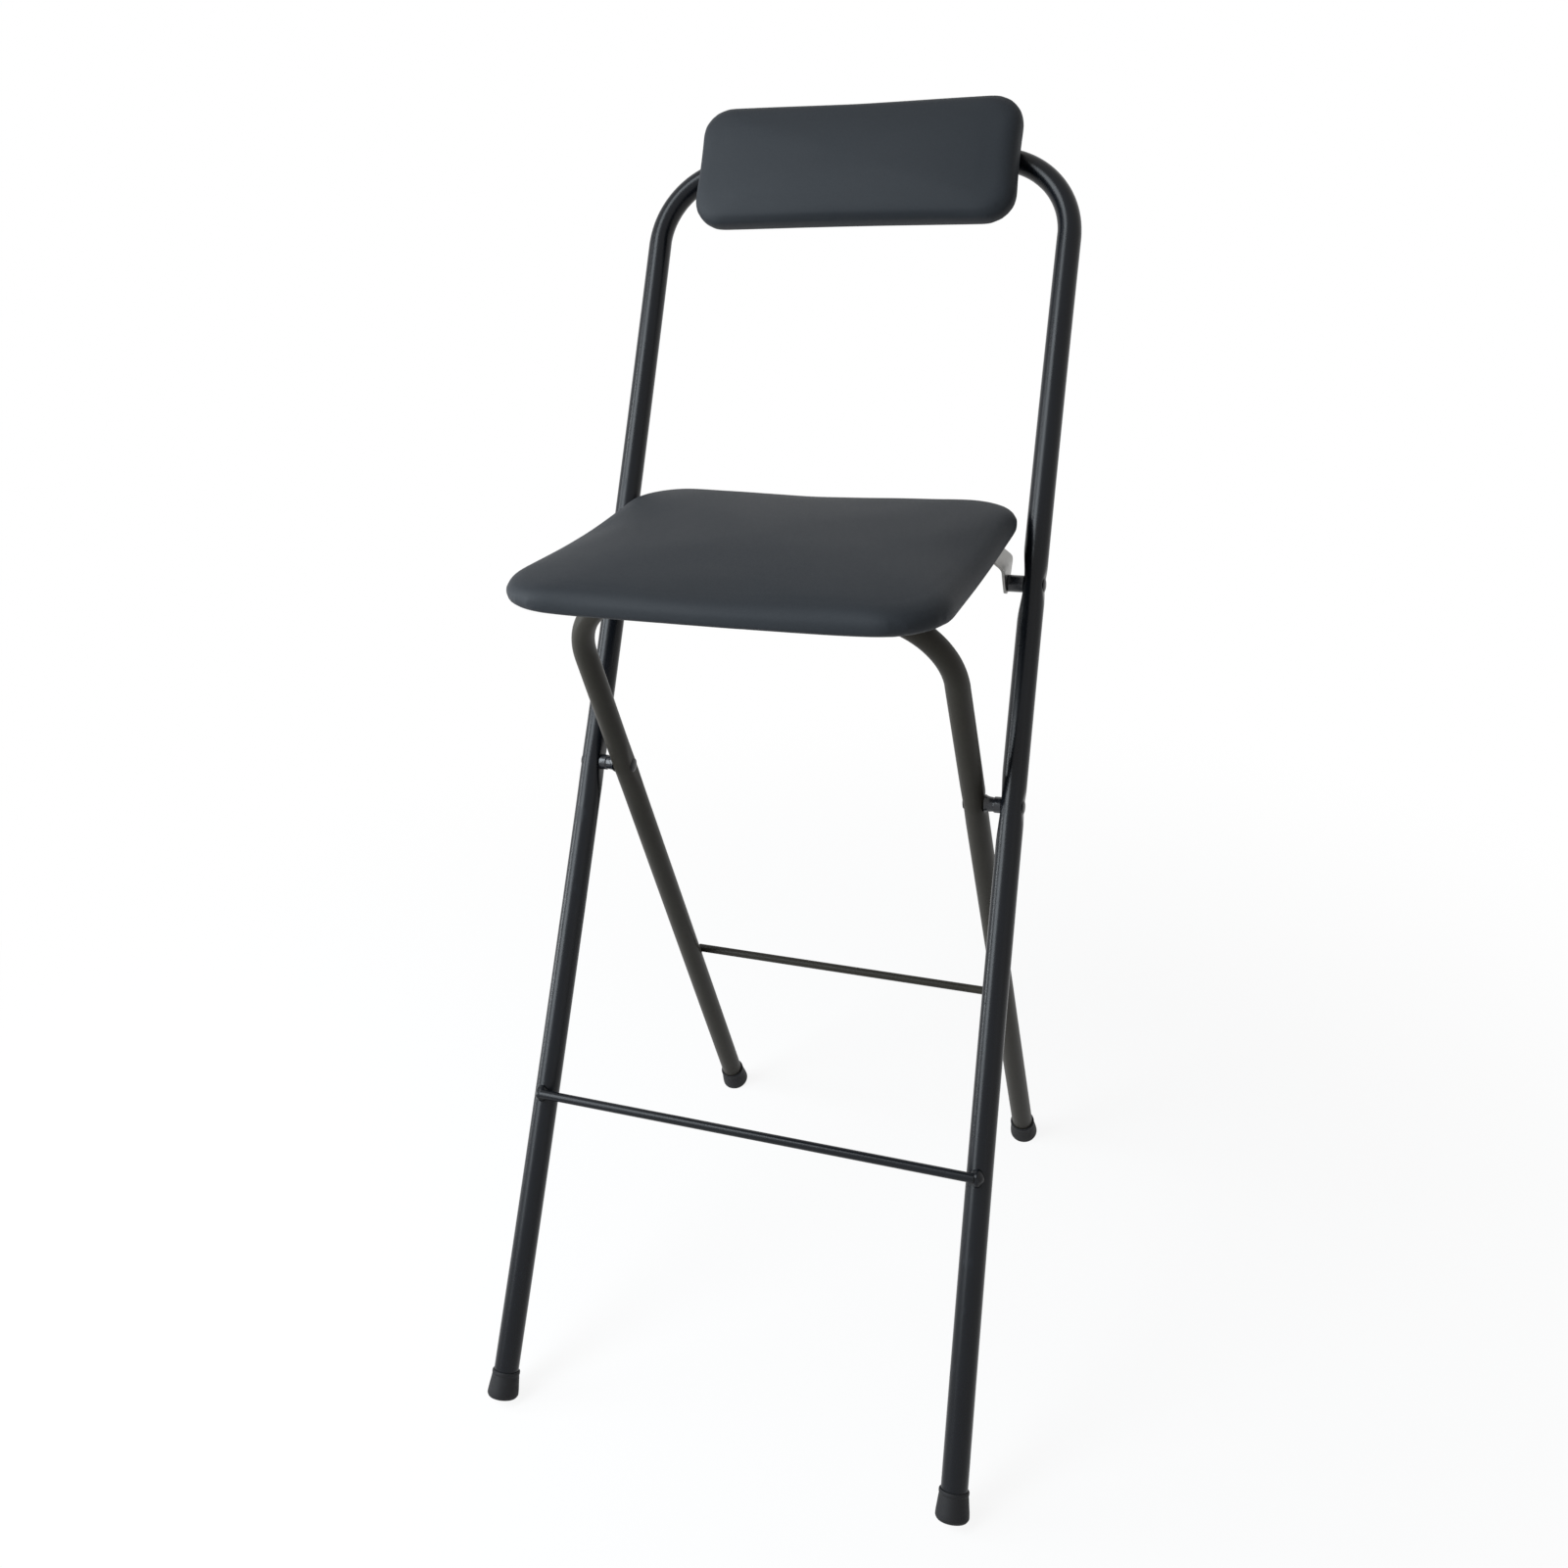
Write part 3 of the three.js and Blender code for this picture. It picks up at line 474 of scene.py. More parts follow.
def filleted(corners, steps=4):
    """A smooth 2-D line through corners of (x, y, fillet); a fillet starts that far from its corner."""
    closest = 0.001 * MM
    line = []
    for index, (x, y, fillet) in enumerate(corners):
        corner = Vector((x, y))
        if not fillet or index in (0, len(corners) - 1):
            line.append(corner)
            continue
        before = Vector(corners[index - 1][:2]) - corner
        after = Vector(corners[index + 1][:2]) - corner
        start = corner + before.normalized() * min(fillet, before.length / 2)
        end = corner + after.normalized() * min(fillet, after.length / 2)
        for step in range(steps + 1):
            share = step / steps
            line.append(start.lerp(corner, share).lerp(corner.lerp(end, share), share))
    pairs = zip(line, line[1:])
    return line[:1] + [after for before, after in pairs if (after - before).length > closest]


def run_length(line):
    """The length of a line of points."""
    return sum((after - before).length for before, after in zip(line, line[1:]))


def lathe_rings(profile, segments=48):
    """Rings about +Y from a profile of (radius, height)."""
    rings = []
    for radius, height in profile:
        angles = (math.tau * index / segments for index in range(segments))
        rings.append([Vector((radius * math.cos(a), height, -radius * math.sin(a))) for a in angles])
    return rings


def across(sign, inner, place):
    """Lays a piece made along +Y across the stool, from an inner place outwards."""
    return Matrix.Translation((sign * inner, place, 0)) @ Matrix.Rotation(-sign * math.pi / 2, 4, "Z")


# Bent tubes
def half_span(place):
    """Middle plane to an upright's axis at a place along it."""
    tubes = bpy.context.scene.stool_tubes
    return tubes.waist_half_span + tubes.spread * ((place - tubes.waist_place) / tubes.spread_reach) ** 2


def span_slope(place):
    """How fast an upright leans outwards at a place along it."""
    tubes = bpy.context.scene.stool_tubes
    return 2 * tubes.spread * (place - tubes.waist_place) / tubes.spread_reach**2


def leg_places(end, bend, dents, reach):
    """Stations along a leg, close together where the tube is flattened."""
    coarse, fine = 0.024, 0.004
    places = [end]
    while places[-1] < bend:
        near = any(abs(places[-1] - dent) < reach + coarse for dent in dents)
        places.append(places[-1] + (fine if near else coarse))
    places[-1] = bend
    return places


def arch(end, bar, bend, dents, span_at, slope_at, reach):
    """Stations of a U turned upside down: (point, tangent, place on the leg or None, bending share)."""
    bend_steps = 28
    tilt = math.atan(slope_at(bar - bend))
    bend_place = bar - bend * (1 + math.sin(tilt))
    stations = []
    for place in leg_places(end, bend_place, dents, reach):
        heading = Vector((slope_at(place), 1)).normalized()
        stations.append((Vector((span_at(place), place)), heading, place, 0.0))
    centre = Vector((span_at(bend_place) - bend * math.cos(tilt), bend_place + bend * math.sin(tilt)))
    for step in range(1, bend_steps + 1):
        heading = tilt - (tilt + math.pi / 2) * step / bend_steps
        point = centre + bend * Vector((math.cos(heading), -math.sin(heading)))
        bending = math.sin(math.pi * step / bend_steps) ** 0.5 if step < bend_steps else 0.0
        stations.append((point, Vector((math.sin(heading), math.cos(heading))), None, bending))
    mirrored = [
        (Vector((-point.x, point.y)), Vector((heading.x, -heading.y)), place, bending)
        for point, heading, place, bending in reversed(stations)
    ]
    return stations + mirrored


def hollow_at(place, dents, wall, reach):
    """How deep one wall of a tube is pressed at a place: wall 0 is the inner one, 1 the outer one."""
    if place is None:
        return 0.0
    offsets = ((shares[wall], (place - dent) / reach) for dent, shares in dents.items())
    return max(share * (1 - offset**2) ** 2 if abs(offset) < 1 else 0.0 for share, offset in offsets)


def tube_rings(stations, radius, dents, depth, reach):
    """Rings round a bent tube, flattened at its pivots and a little oval in its bends."""
    segments = 52
    bend_flattening, dent_widening = 0.05, 0.16
    rings = []
    for point, heading, place, bending in stations:
        inner_hollow = hollow_at(place, dents, 0, reach)
        outer_hollow = hollow_at(place, dents, 1, reach / 2)
        inner_flat = radius - depth * inner_hollow
        outer_flat = radius - depth * outer_hollow
        squash = 1 - bend_flattening * bending
        swell = 1 + dent_widening * max(inner_hollow, outer_hollow) + bend_flattening / 2 * bending
        outward = Vector((heading.y, -heading.x, 0))
        ring = []
        for index in range(segments):
            angle = math.tau * index / segments
            side = radius * math.cos(angle) * squash
            if side < 0:
                side = -pressed_in(-side, inner_flat, radius)
            else:
                side = pressed_in(side, outer_flat, radius)
            ring.append(point.to_3d() + outward * side + Vector((0, 0, radius * math.sin(angle) * swell)))
        rings.append(ring)
    return rings


def pressed_in(value, flat, radius):
    """Presses a tube's side back to a flat, with a soft edge and a slight crown."""
    leak, softness = 0.14, 0.6
    soft = (radius - flat) * softness
    excess = value - flat
    if soft == 0 or excess <= -soft:
        return value
    relief = (excess + soft) ** 2 / (4 * soft) if excess < soft else excess
    return value - (1 - leak) * relief


CAP_FOOT_RADIUS = 13.9 * MM
CAP_TOP_RADIUS = 12.4 * MM
CAP_HEIGHT = 23 * MM
CAP_FLOOR = 4.3 * MM
CAP_FLAT = 2.4 * MM
# Shares of the dent depth by which a tube's inner and outer walls give way at each pivot
LEG_DENT = (0.55, 0.36)
SEAT_DENT = (1.0, 0.42)
REAR_DENT = (0.34, 0.5)


def cap_stand(tilt):
    """Floor to the middle of a cap's foot along its leg."""
    return (CAP_FOOT_RADIUS * math.sin(abs(tilt)) - CAP_FLAT) / math.cos(tilt)


class STOOL_OT_frame_tube(bpy.types.Operator):
    """Bends the back frame's tube: front legs, uprights and top bar."""

    bl_idname = "stool.frame_tube"
    bl_label = "Frame Tube"

    def execute(self, context):
        tubes = context.scene.stool_tubes
        dents = {leg_pivot_place: LEG_DENT, seat_hinge_place: SEAT_DENT}
        stations = arch(
            cap_stand(lean) + CAP_FLOOR, tubes.top_bar_place, tubes.top_bend, dents,
            half_span, span_slope, tubes.dent_reach,
        )
        rings = tube_rings(stations, tubes.upright_radius, dents, tubes.dent_depth, tubes.dent_reach)
        mesh = loft("frame_tube", rings, BACK_PLANE)
        add_piece("frame_tube", mesh, "back_frame", "frame_paint", ["outer_frame"])
        return {"FINISHED"}


class STOOL_OT_rear_tube(bpy.types.Operator):
    """Bends the rear legs' tube with its crossbar."""

    bl_idname = "stool.rear_tube"
    bl_label = "Rear Tube"

    def execute(self, context):
        tubes = context.scene.stool_tubes
        dents = {0.0: REAR_DENT}
        end = cap_stand(rear_lean) + CAP_FLOOR - rear_reach
        stations = arch(
            end, tubes.crossbar_place, tubes.crossbar_bend, dents,
            lambda place: tubes.rear_half_span, lambda place: 0.0, tubes.dent_reach,
        )
        rings = tube_rings(stations, tubes.rear_radius, dents, tubes.dent_depth, tubes.dent_reach)
        mesh = loft("rear_tube", rings, REAR_PLANE)
        add_piece("rear_tube", mesh, "rear_legs", "rear_paint", ["inner_frame"])
        return {"FINISHED"}


# Rods and their welds
ROD_GAP = 0.3 * MM
ROD_CHAMFER = 0.6 * MM
WELD_REACH = 6 * MM
WELD_RISE = 7.4 * MM
WELD_SINK = 0.4 * MM
WELD_STRETCH = 1.2
WELD_SEEDS = {"left": 1.7, "right": 2.7}


def rod_rings(radius, length):
    """A straight rod along +Y, its cut ends lightly chamfered."""
    ends = radius - ROD_CHAMFER
    profile = [(ends, 0), (radius, ROD_CHAMFER), (radius, length - ROD_CHAMFER), (ends, length)]
    return lathe_rings(profile, 28)


def weld_rings(reach, rise, seed):
    """A lump of weld, its foot sunk under the origin and its top along +Z."""
    turns, steps, sunk, steepest = 36, 8, 2.5 * MM, math.radians(80)
    lobes, lobe_depth, lump_depth, lump_scale = 5, 0.05, 0.16, 1.4
    slopes = [steepest * step / (steps - 1) for step in range(steps)]
    rings = []
    for share, level in [(1, -sunk)] + [(math.cos(slope), rise * math.sin(slope)) for slope in slopes]:
        ring = []
        for turn in range(turns):
            angle = math.tau * turn / turns
            outward = Vector((math.cos(angle), math.sin(angle), 0))
            lump = lump_depth * noise.noise(outward * share * lump_scale + Vector((0, 0, seed)))
            uneven = 1 + lobe_depth * math.sin(lobes * angle + seed) * share + lump
            ring.append((outward * reach * share + Vector((0, 0, level))) * uneven)
        rings.append(ring)
    return rings


def add_rod(name, node, legs, place, front):
    """A rod across one pair of legs, welded to each; front is 1 ahead of the legs and -1 behind them."""
    tubes = bpy.context.scene.stool_tubes
    body, slot, plane, leg_span, tube_radius = legs
    half_length = leg_span + tube_radius - tubes.rod_setback
    level = front * (tube_radius + ROD_GAP + tubes.rod_radius)
    lay = plane @ Matrix.Translation((0, place, level)) @ across(1, -half_length, 0)
    rod = loft(name, rod_rings(tubes.rod_radius, 2 * half_length), lay)
    add_piece(name, rod, body, slot, [node])
    stretch = Matrix.Diagonal((1, WELD_STRETCH, front, 1))
    for side, sign in SIDES.items():
        contact = Matrix.Translation((sign * leg_span, place, front * (tube_radius - WELD_SINK)))
        rings = weld_rings(WELD_REACH, WELD_RISE, WELD_SEEDS[side])
        weld = loft(f"{name}_weld_{side}", rings, plane @ contact @ stretch)
        add_piece(f"{name}_weld_{side}", weld, body, slot)


class STOOL_OT_rods(bpy.types.Operator):
    """Adds the footrest rod and the rear rod, each with two welds."""

    bl_idname = "stool.rods"
    bl_label = "Rods"

    def execute(self, context):
        tubes = context.scene.stool_tubes
        span = half_span(tubes.footrest_place)
        front_legs = ("back_frame", "frame_paint", BACK_PLANE, span, tubes.upright_radius)
        rear_legs = ("rear_legs", "rear_paint", REAR_PLANE, tubes.rear_half_span, tubes.rear_radius)
        add_rod("footrest", "footrest_rod", front_legs, tubes.footrest_place, 1)
        add_rod("rear_stretcher", "rear_rod", rear_legs, -tubes.rear_rod_place, -1)
        return {"FINISHED"}


# Foot caps
def cap_profile(tube_radius):
    """A flared rubber cap along +Y: bevelled foot at 0, soft lip and the mouth that grips the tube."""
    lip = 0.35 * MM
    return filleted([
        (0.2 * MM, 0, 0),
        (CAP_FOOT_RADIUS * 0.5, 0, 0),
        (CAP_FOOT_RADIUS - 1.7 * MM, 0, 1 * MM),
        (CAP_FOOT_RADIUS, 2.4 * MM, 1 * MM),
        (CAP_FOOT_RADIUS - 0.25 * MM, 6.5 * MM, 1 * MM),
        (CAP_TOP_RADIUS - lip, CAP_HEIGHT - 3.4 * MM, 0.6 * MM),
        (CAP_TOP_RADIUS, CAP_HEIGHT - 2.8 * MM, 0.5 * MM),
        (CAP_TOP_RADIUS, CAP_HEIGHT - 0.8 * MM, 0.6 * MM),
        (CAP_TOP_RADIUS - 0.7 * MM, CAP_HEIGHT, 0.5 * MM),
        (tube_radius + 0.1 * MM, CAP_HEIGHT, 0.3 * MM),
        (tube_radius + 0.1 * MM, CAP_HEIGHT - 5 * MM, 0),
    ])


def add_cap(name, node, body, plane, tube_radius, tilt, slope, x, end):
    """A cap on a leg; the floor flattens the low edge of its foot."""
    local = Matrix.Translation((x, end, 0)) @ Matrix.Rotation(-math.atan(slope), 4, "Z")
    local = local @ Matrix.Translation((0, cap_stand(tilt), 0))
    mesh = loft(name, lathe_rings(cap_profile(tube_radius), 64), plane @ local)
    for vertex in mesh.vertices:
        vertex.co.z = max(vertex.co.z, 0)
    add_piece(name, mesh, body, "cap_rubber", [node])


class STOOL_OT_caps(bpy.types.Operator):
    """Fits the four rubber foot caps."""

    bl_idname = "stool.caps"
    bl_label = "Foot Caps"

    def execute(self, context):
        tubes = context.scene.stool_tubes
        foot = cap_stand(lean)
        for side, sign in SIDES.items():
            add_cap(
                f"front_foot_{side}", f"front_cap_{side}", "back_frame", BACK_PLANE, tubes.upright_radius,
                lean, sign * span_slope(foot), sign * half_span(foot), 0,
            )
            add_cap(
                f"rear_foot_{side}", f"rear_cap_{side}", "rear_legs", REAR_PLANE, tubes.rear_radius,
                rear_lean, 0, sign * tubes.rear_half_span, -rear_reach,
            )
        return {"FINISHED"}


# Pivots
RIVET_RADIUS = 4 * MM
RIVET_HEAD = (6.4 * MM, 1.4 * MM)
# How deep rivet heads and collars sit in the flattened walls of the tubes
HEAD_SINK = 1.5 * MM
BUSH_REAR_SINK = 1.5 * MM
BUSH_FRONT_SINK = 2 * MM
SPACER_SINK = 3.4 * MM
SPACER_RADIUS = 7.5 * MM
FACE_GAP = 0.1 * MM


def rivet_profile(grip):
    """A rivet along +Y with a low dome at each end of its grip."""
    radius, height = RIVET_HEAD
    dome = filleted([
        (0.15 * MM, -height, 0),
        (radius * 0.55, -height * 0.96, radius * 0.3),
        (radius, -height * 0.25, height * 0.4),
        (radius, 0, 0),
        (RIVET_RADIUS, 0, 0),
    ])
    return dome + [Vector((point.x, grip - point.y)) for point in reversed(dome)]


def bush_profile(length):
    """A stepped bush along +Y: flared foot, narrow neck and a collar at the far end."""
    return filleted([
        (RIVET_RADIUS, 0, 0),
        (8 * MM, 0.2 * MM, 0),
        (6.6 * MM, 3 * MM, 1.6 * MM),
        (6.2 * MM, length * 0.55, 0.4 * MM),
        (7 * MM, length * 0.58, 0.4 * MM),
        (7.1 * MM, length, 0),
        (RIVET_RADIUS, length, 0),
    ])


def spacer_profile(length):
    """A plain ring along +Y with rounded edges."""
    edge, bevel = 0.8 * MM, 0.1 * MM
    return filleted([
        (RIVET_RADIUS, bevel, 0),
        (SPACER_RADIUS, 0, edge),
        (SPACER_RADIUS, length, edge),
        (RIVET_RADIUS, length - bevel, 0),
    ])


class STOOL_OT_pivots(bpy.types.Operator):
    """Adds the rivets, bushes and spacers of the leg pivots and the seat hinges."""

    bl_idname = "stool.pivots"
    bl_label = "Pivots"

    def execute(self, context):
        tubes = context.scene.stool_tubes
        radius, rear_span, rear_radius = tubes.upright_radius, tubes.rear_half_span, tubes.rear_radius
        leg_span, seat_span = half_span(leg_pivot_place), half_span(seat_hinge_place)
        head_stand = FACE_GAP - HEAD_SINK
        # Piece, node, slot, place on the uprights, maker of the profile, inner end and outer end
        turned = (
            ("leg_rivet", "leg_pin", "frame_paint", leg_pivot_place, rivet_profile,
             rear_span - rear_radius - head_stand, leg_span + radius + head_stand),
            ("leg_collar", "leg_bush", "nylon", leg_pivot_place, bush_profile,
             rear_span + rear_radius - BUSH_REAR_SINK, leg_span - radius + BUSH_FRONT_SINK),
            ("seat_rivet", "seat_pin", "frame_paint", seat_hinge_place, rivet_profile,
             BRACKET_FACE - BRACKET_GAUGE - FACE_GAP, seat_span + radius + head_stand),
            ("seat_collar", "seat_spacer", "nylon", seat_hinge_place, spacer_profile,
             BRACKET_FACE + FACE_GAP, seat_span - radius + SPACER_SINK),
        )
        for side, sign in SIDES.items():
            for name, node, slot, place, profile_of, inner, outer in turned:
                rings = lathe_rings(profile_of(outer - inner))
                mesh = loft(name, rings, BACK_PLANE @ across(sign, inner, place))
                add_piece(f"{name}_{side}", mesh, "back_frame", slot, [f"{node}_{side}"])
        return {"FINISHED"}


# Pressed plates
BRACKET_GAUGE = 2.5 * MM
BRACKET_FACE = 178.2 * MM
# How far the bracket's slope comes in under the seat, and the flange that it ends in
BRACKET_SLOPE = 28 * MM
BRACKET_FLANGE = 24 * MM
SADDLE_GAUGE = 1.2 * MM
SADDLE_WIDTH = 26 * MM
SADDLE_BEND_GAP = 4 * MM
PLATE_GAP = 0.3 * MM


def plate_mesh(name, corners, gauge, knots, plane):
    """A bent plate: corners of its outer line, and knots of (distance, low edge, high edge) along it."""
    step, columns = 1.2 * MM, 10
    line = filleted(corners, 6)
    rows, travelled = [], 0.0
    for start, end in zip(line, line[1:]):
        run = end - start
        count = max(1, round(run.length / step))
        for index in range(count):
            rows.append((start + run * index / count, travelled + run.length * index / count))
        travelled += run.length
    rows.append((line[-1], travelled))
    shape = bmesh.new()
    sheets = ([], [])
    for index, (point, distance) in enumerate(rows):
        before = rows[max(index - 1, 0)][0]
        after = rows[min(index + 1, len(rows) - 1)][0]
        along = (after - before).normalized()
        inward = Vector((along.y, -along.x))
        low, high = edges_at(distance, knots)
        for sheet, depth in zip(sheets, (0, gauge)):
            place = point + inward * depth
            levels = (low + (high - low) * column / columns for column in range(columns + 1))
            sheet.append([shape.verts.new((place.x, level, place.y)) for level in levels])
    for sheet in sheets:
        for near, far in zip(sheet, sheet[1:]):
            for column in range(columns):
                shape.faces.new((near[column], near[column + 1], far[column + 1], far[column]))
    outlines = [
        sheet[0] + [row[-1] for row in sheet[1:-1]] + sheet[-1][::-1] + [row[0] for row in sheet[-2:0:-1]]
        for sheet in sheets
    ]
    outer, inner = outlines
    for index in range(len(outer)):
        after = (index + 1) % len(outer)
        shape.faces.new((outer[index], outer[after], inner[after], inner[index]))
    bmesh.ops.recalc_face_normals(shape, faces=shape.faces)
    return to_mesh(name, shape, plane)


def edges_at(distance, knots):
    """The plate's two edges at a distance along it, with both ends rounded off."""
    end_round = 4 * MM
    for (start, low_a, high_a), (end, low_b, high_b) in zip(knots, knots[1:]):
        if distance <= end + 1e-9:
            share = max(0.0, (distance - start) / (end - start))
            low = low_a + (low_b - low_a) * share
            high = high_a + (high_b - high_a) * share
            break
    from_end = min(distance - knots[0][0], knots[-1][0] - distance)
    if from_end < end_round:
        inside = end_round - max(0.0, from_end)
        pull = end_round - math.sqrt(end_round**2 - inside**2)
        low, high = low + pull, high - pull
    return low, high


def soften_edges(piece, width):
    """Rounds the cut edges of a plate."""
    bevel = piece.modifiers.new("edge", "BEVEL")
    bevel.width = width
    bevel.segments = 2
    bevel.limit_method = "ANGLE"
    bevel.angle_limit = math.radians(50)


class STOOL_OT_seat_hinges(bpy.types.Operator):
    """Presses the two brackets that carry the seat."""

    bl_idname = "stool.seat_hinges"
    bl_label = "Seat Hinges"

    def execute(self, context):
        top = context.scene.stool_cushions.seat_rise - PLATE_GAP
        bend = BRACKET_FACE - BRACKET_SLOPE
        bend_rise, foot = 18.4 * MM, 8 * MM
        corners = [
            (bend - BRACKET_FLANGE, top, 0),
            (bend, top, 3 * MM),
            (BRACKET_FACE, bend_rise, 4 * MM),
            (BRACKET_FACE, -foot, 0),
        ]
        length = run_length(filleted(corners, 6))
        shoulder = length - foot - bend_rise
        knots = [
            (0, -18 * MM, 22 * MM),
            (shoulder, -18 * MM, 22 * MM),
            (shoulder + 13.4 * MM, -14 * MM, 10.6 * MM),
            (length - foot / 2, -10.5 * MM, 10 * MM),
            (length, -9.5 * MM, 9 * MM),
        ]
        for side, sign in SIDES.items():
            plane = SEAT_PLANE @ Matrix.Scale(sign, 4, (1, 0, 0))
            plate = plate_mesh("bracket", corners, BRACKET_GAUGE, knots, plane)
            piece = add_piece(f"hinge_plate_{side}", plate, "seat", "zinc", [f"seat_bracket_{side}"])
            soften_edges(piece, 0.35 * MM)
        return {"FINISHED"}


def saddle_place():
    """Middle plane to a saddle's middle: just inside the crossbar's bend."""
    tubes = bpy.context.scene.stool_tubes
    return tubes.rear_half_span - tubes.crossbar_bend - SADDLE_BEND_GAP - SADDLE_WIDTH / 2


def crossbar_seat_place():
    """The crossbar's axis from the seat hinge, along the seat."""
    tubes = bpy.context.scene.stool_tubes
    bar = REAR_PLANE @ Vector((0, tubes.crossbar_place, 0))
    return (SEAT_PLANE.inverted() @ bar).y


class STOOL_OT_saddles(bpy.types.Operator):
    """Presses the two open saddles that the crossbar lies in."""

    bl_idname = "stool.saddles"
    bl_label = "Saddles"

    def execute(self, context):
        tubes = context.scene.stool_tubes
        top = context.scene.stool_cushions.seat_rise - PLATE_GAP
        lip, tail, play, bend = 12 * MM, 28 * MM, 0.5 * MM, 2.2 * MM
        bar = crossbar_seat_place()
        lip_face = bar - tubes.rear_radius - play - SADDLE_GAUGE
        corners = [(lip_face, top - lip, 0), (lip_face, top, bend), (bar + tail, top, 0)]
        half = SADDLE_WIDTH / 2
        knots = [(0, -half, half), (run_length(filleted(corners, 6)), -half, half)]
        turn = Matrix(((0, 1, 0, 0), (1, 0, 0, 0), (0, 0, 1, 0), (0, 0, 0, 1)))
        for side, sign in SIDES.items():
            plane = SEAT_PLANE @ Matrix.Translation((sign * saddle_place(), 0, 0)) @ turn
            plate = plate_mesh("saddle", corners, SADDLE_GAUGE, knots, plane)
            piece = add_piece(f"bar_saddle_{side}", plate, "seat", "zinc", [f"saddle_{side}"])
            soften_edges(piece, 0.25 * MM)
        return {"FINISHED"}


# Fasteners
# Shank radius, head radius, head height and length
SCREW_SIZES = (1.9 * MM, 3.6 * MM, 2.2 * MM, 12 * MM)
BOLT_SIZES = (3 * MM, 6 * MM, 3 * MM, 31 * MM)
# From the middle plane to the bolts of the back rest
BOLT_PLACE = 80 * MM
BRACKET_SCREW_REACH = 12 * MM
SADDLE_SCREW_REACH = 7 * MM
SADDLE_SCREW_SETBACK = 20 * MM


def screw_rings(radius, head_radius, head_height, length):
    """A pan-head wood screw along +Y with a cross recess, its head below 0."""
    segments, arm, depth = 32, 0.55 * MM, 1.1 * MM
    head = [
        (0.1 * MM, -head_height, 0),
        (head_radius * 0.7, -head_height, head_radius * 0.25),
        (head_radius, -head_height * 0.35, 0.5 * MM),
        (head_radius, 0, 0),
        (radius, 0, 0),
    ]
    inner = [(head_radius * share, -head_height) for share in (0.05, 0.14, 0.24, 0.34, 0.44)]
    outer = [(point.x, point.y) for point in filleted(head)[1:]]
    rings = lathe_rings(inner + outer + [(radius, length - radius), (0.2 * MM, length)], segments)
    for ring in rings[: len(inner)]:
        for point in ring:
            narrow = min(abs(point.x), abs(point.z))
            reach = max(abs(point.x), abs(point.z)) / (head_radius * 0.5)
            if narrow < arm:
                point.y += depth * (1 - reach**2) * (1 - narrow / arm * 0.3)
    return rings


def bolt_rings(radius, head_radius, head_height, length):
    """A low domed bolt along +Y with a hexagon socket, its head below 0."""
    segments, key, depth, chamfer = 48, 2.2 * MM, 1.7 * MM, 0.8 * MM

    def hexagon(height, share=1.0):
        ring = []
        for index in range(segments):
            angle = math.tau * index / segments
            corner = math.cos(math.pi / 6) / math.cos(angle % (math.pi / 3) - math.pi / 6)
            reach = key * corner * share
            ring.append(Vector((reach * math.cos(angle), height, -reach * math.sin(angle))))
        return ring

    dome = filleted([
        (key * 1.25, -head_height, 0),
        (head_radius * 0.8, -head_height * 0.8, 1.2 * MM),
        (head_radius, -head_height * 0.2, 0.6 * MM),
        (head_radius, 0, 0),
        (radius, 0, 0),
    ])
    bottom = depth - head_height
    socket = [hexagon(bottom, 0.05), hexagon(bottom), hexagon(-head_height)]
    return socket + lathe_rings([*dome, (radius, length - chamfer), (radius - chamfer, length)], segments)


class STOOL_OT_fasteners(bpy.types.Operator):
    """Adds the screws of the brackets and saddles and the bolts of the back rest."""

    bl_idname = "stool.fasteners"
    bl_label = "Fasteners"

    def execute(self, context):
        tubes = context.scene.stool_tubes
        cushions = context.scene.stool_cushions
        top = cushions.seat_rise - PLATE_GAP
        upwards = Matrix.Rotation(math.pi / 2, 4, "X")
        flange = BRACKET_FACE - BRACKET_SLOPE - BRACKET_FLANGE / 2
        saddle_x, saddle_y = saddle_place(), crossbar_seat_place() + SADDLE_SCREW_SETBACK
        under_bracket, under_saddle = top - BRACKET_GAUGE, top - SADDLE_GAUGE
        spots = (
            ("bracket", "front", flange, -BRACKET_SCREW_REACH, under_bracket),
            ("bracket", "rear", flange, BRACKET_SCREW_REACH, under_bracket),
            ("saddle", "inner", saddle_x - SADDLE_SCREW_REACH, saddle_y, under_saddle),
            ("saddle", "outer", saddle_x + SADDLE_SCREW_REACH, saddle_y, under_saddle),
        )
        bolt_z = -tubes.upright_radius - PLATE_GAP
        for side, sign in SIDES.items():
            for plate, end, x, y, z in spots:
                plane = SEAT_PLANE @ Matrix.Translation((sign * x, y, z)) @ upwards
                screw = loft("screw", screw_rings(*SCREW_SIZES), plane)
                node = f"{plate}_screw_{side}_{end}"
                add_piece(f"{plate}_fixing_{side}_{end}", screw, "seat", "zinc", [node])
            head = Matrix.Translation((sign * BOLT_PLACE, tubes.top_bar_place, bolt_z))
            bolt = loft("bolt", bolt_rings(*BOLT_SIZES), BACK_PLANE @ head @ upwards)
            add_piece(f"back_fixing_{side}", bolt, "back_frame", "frame_paint", [f"back_bolt_{side}"])
        return {"FINISHED"}


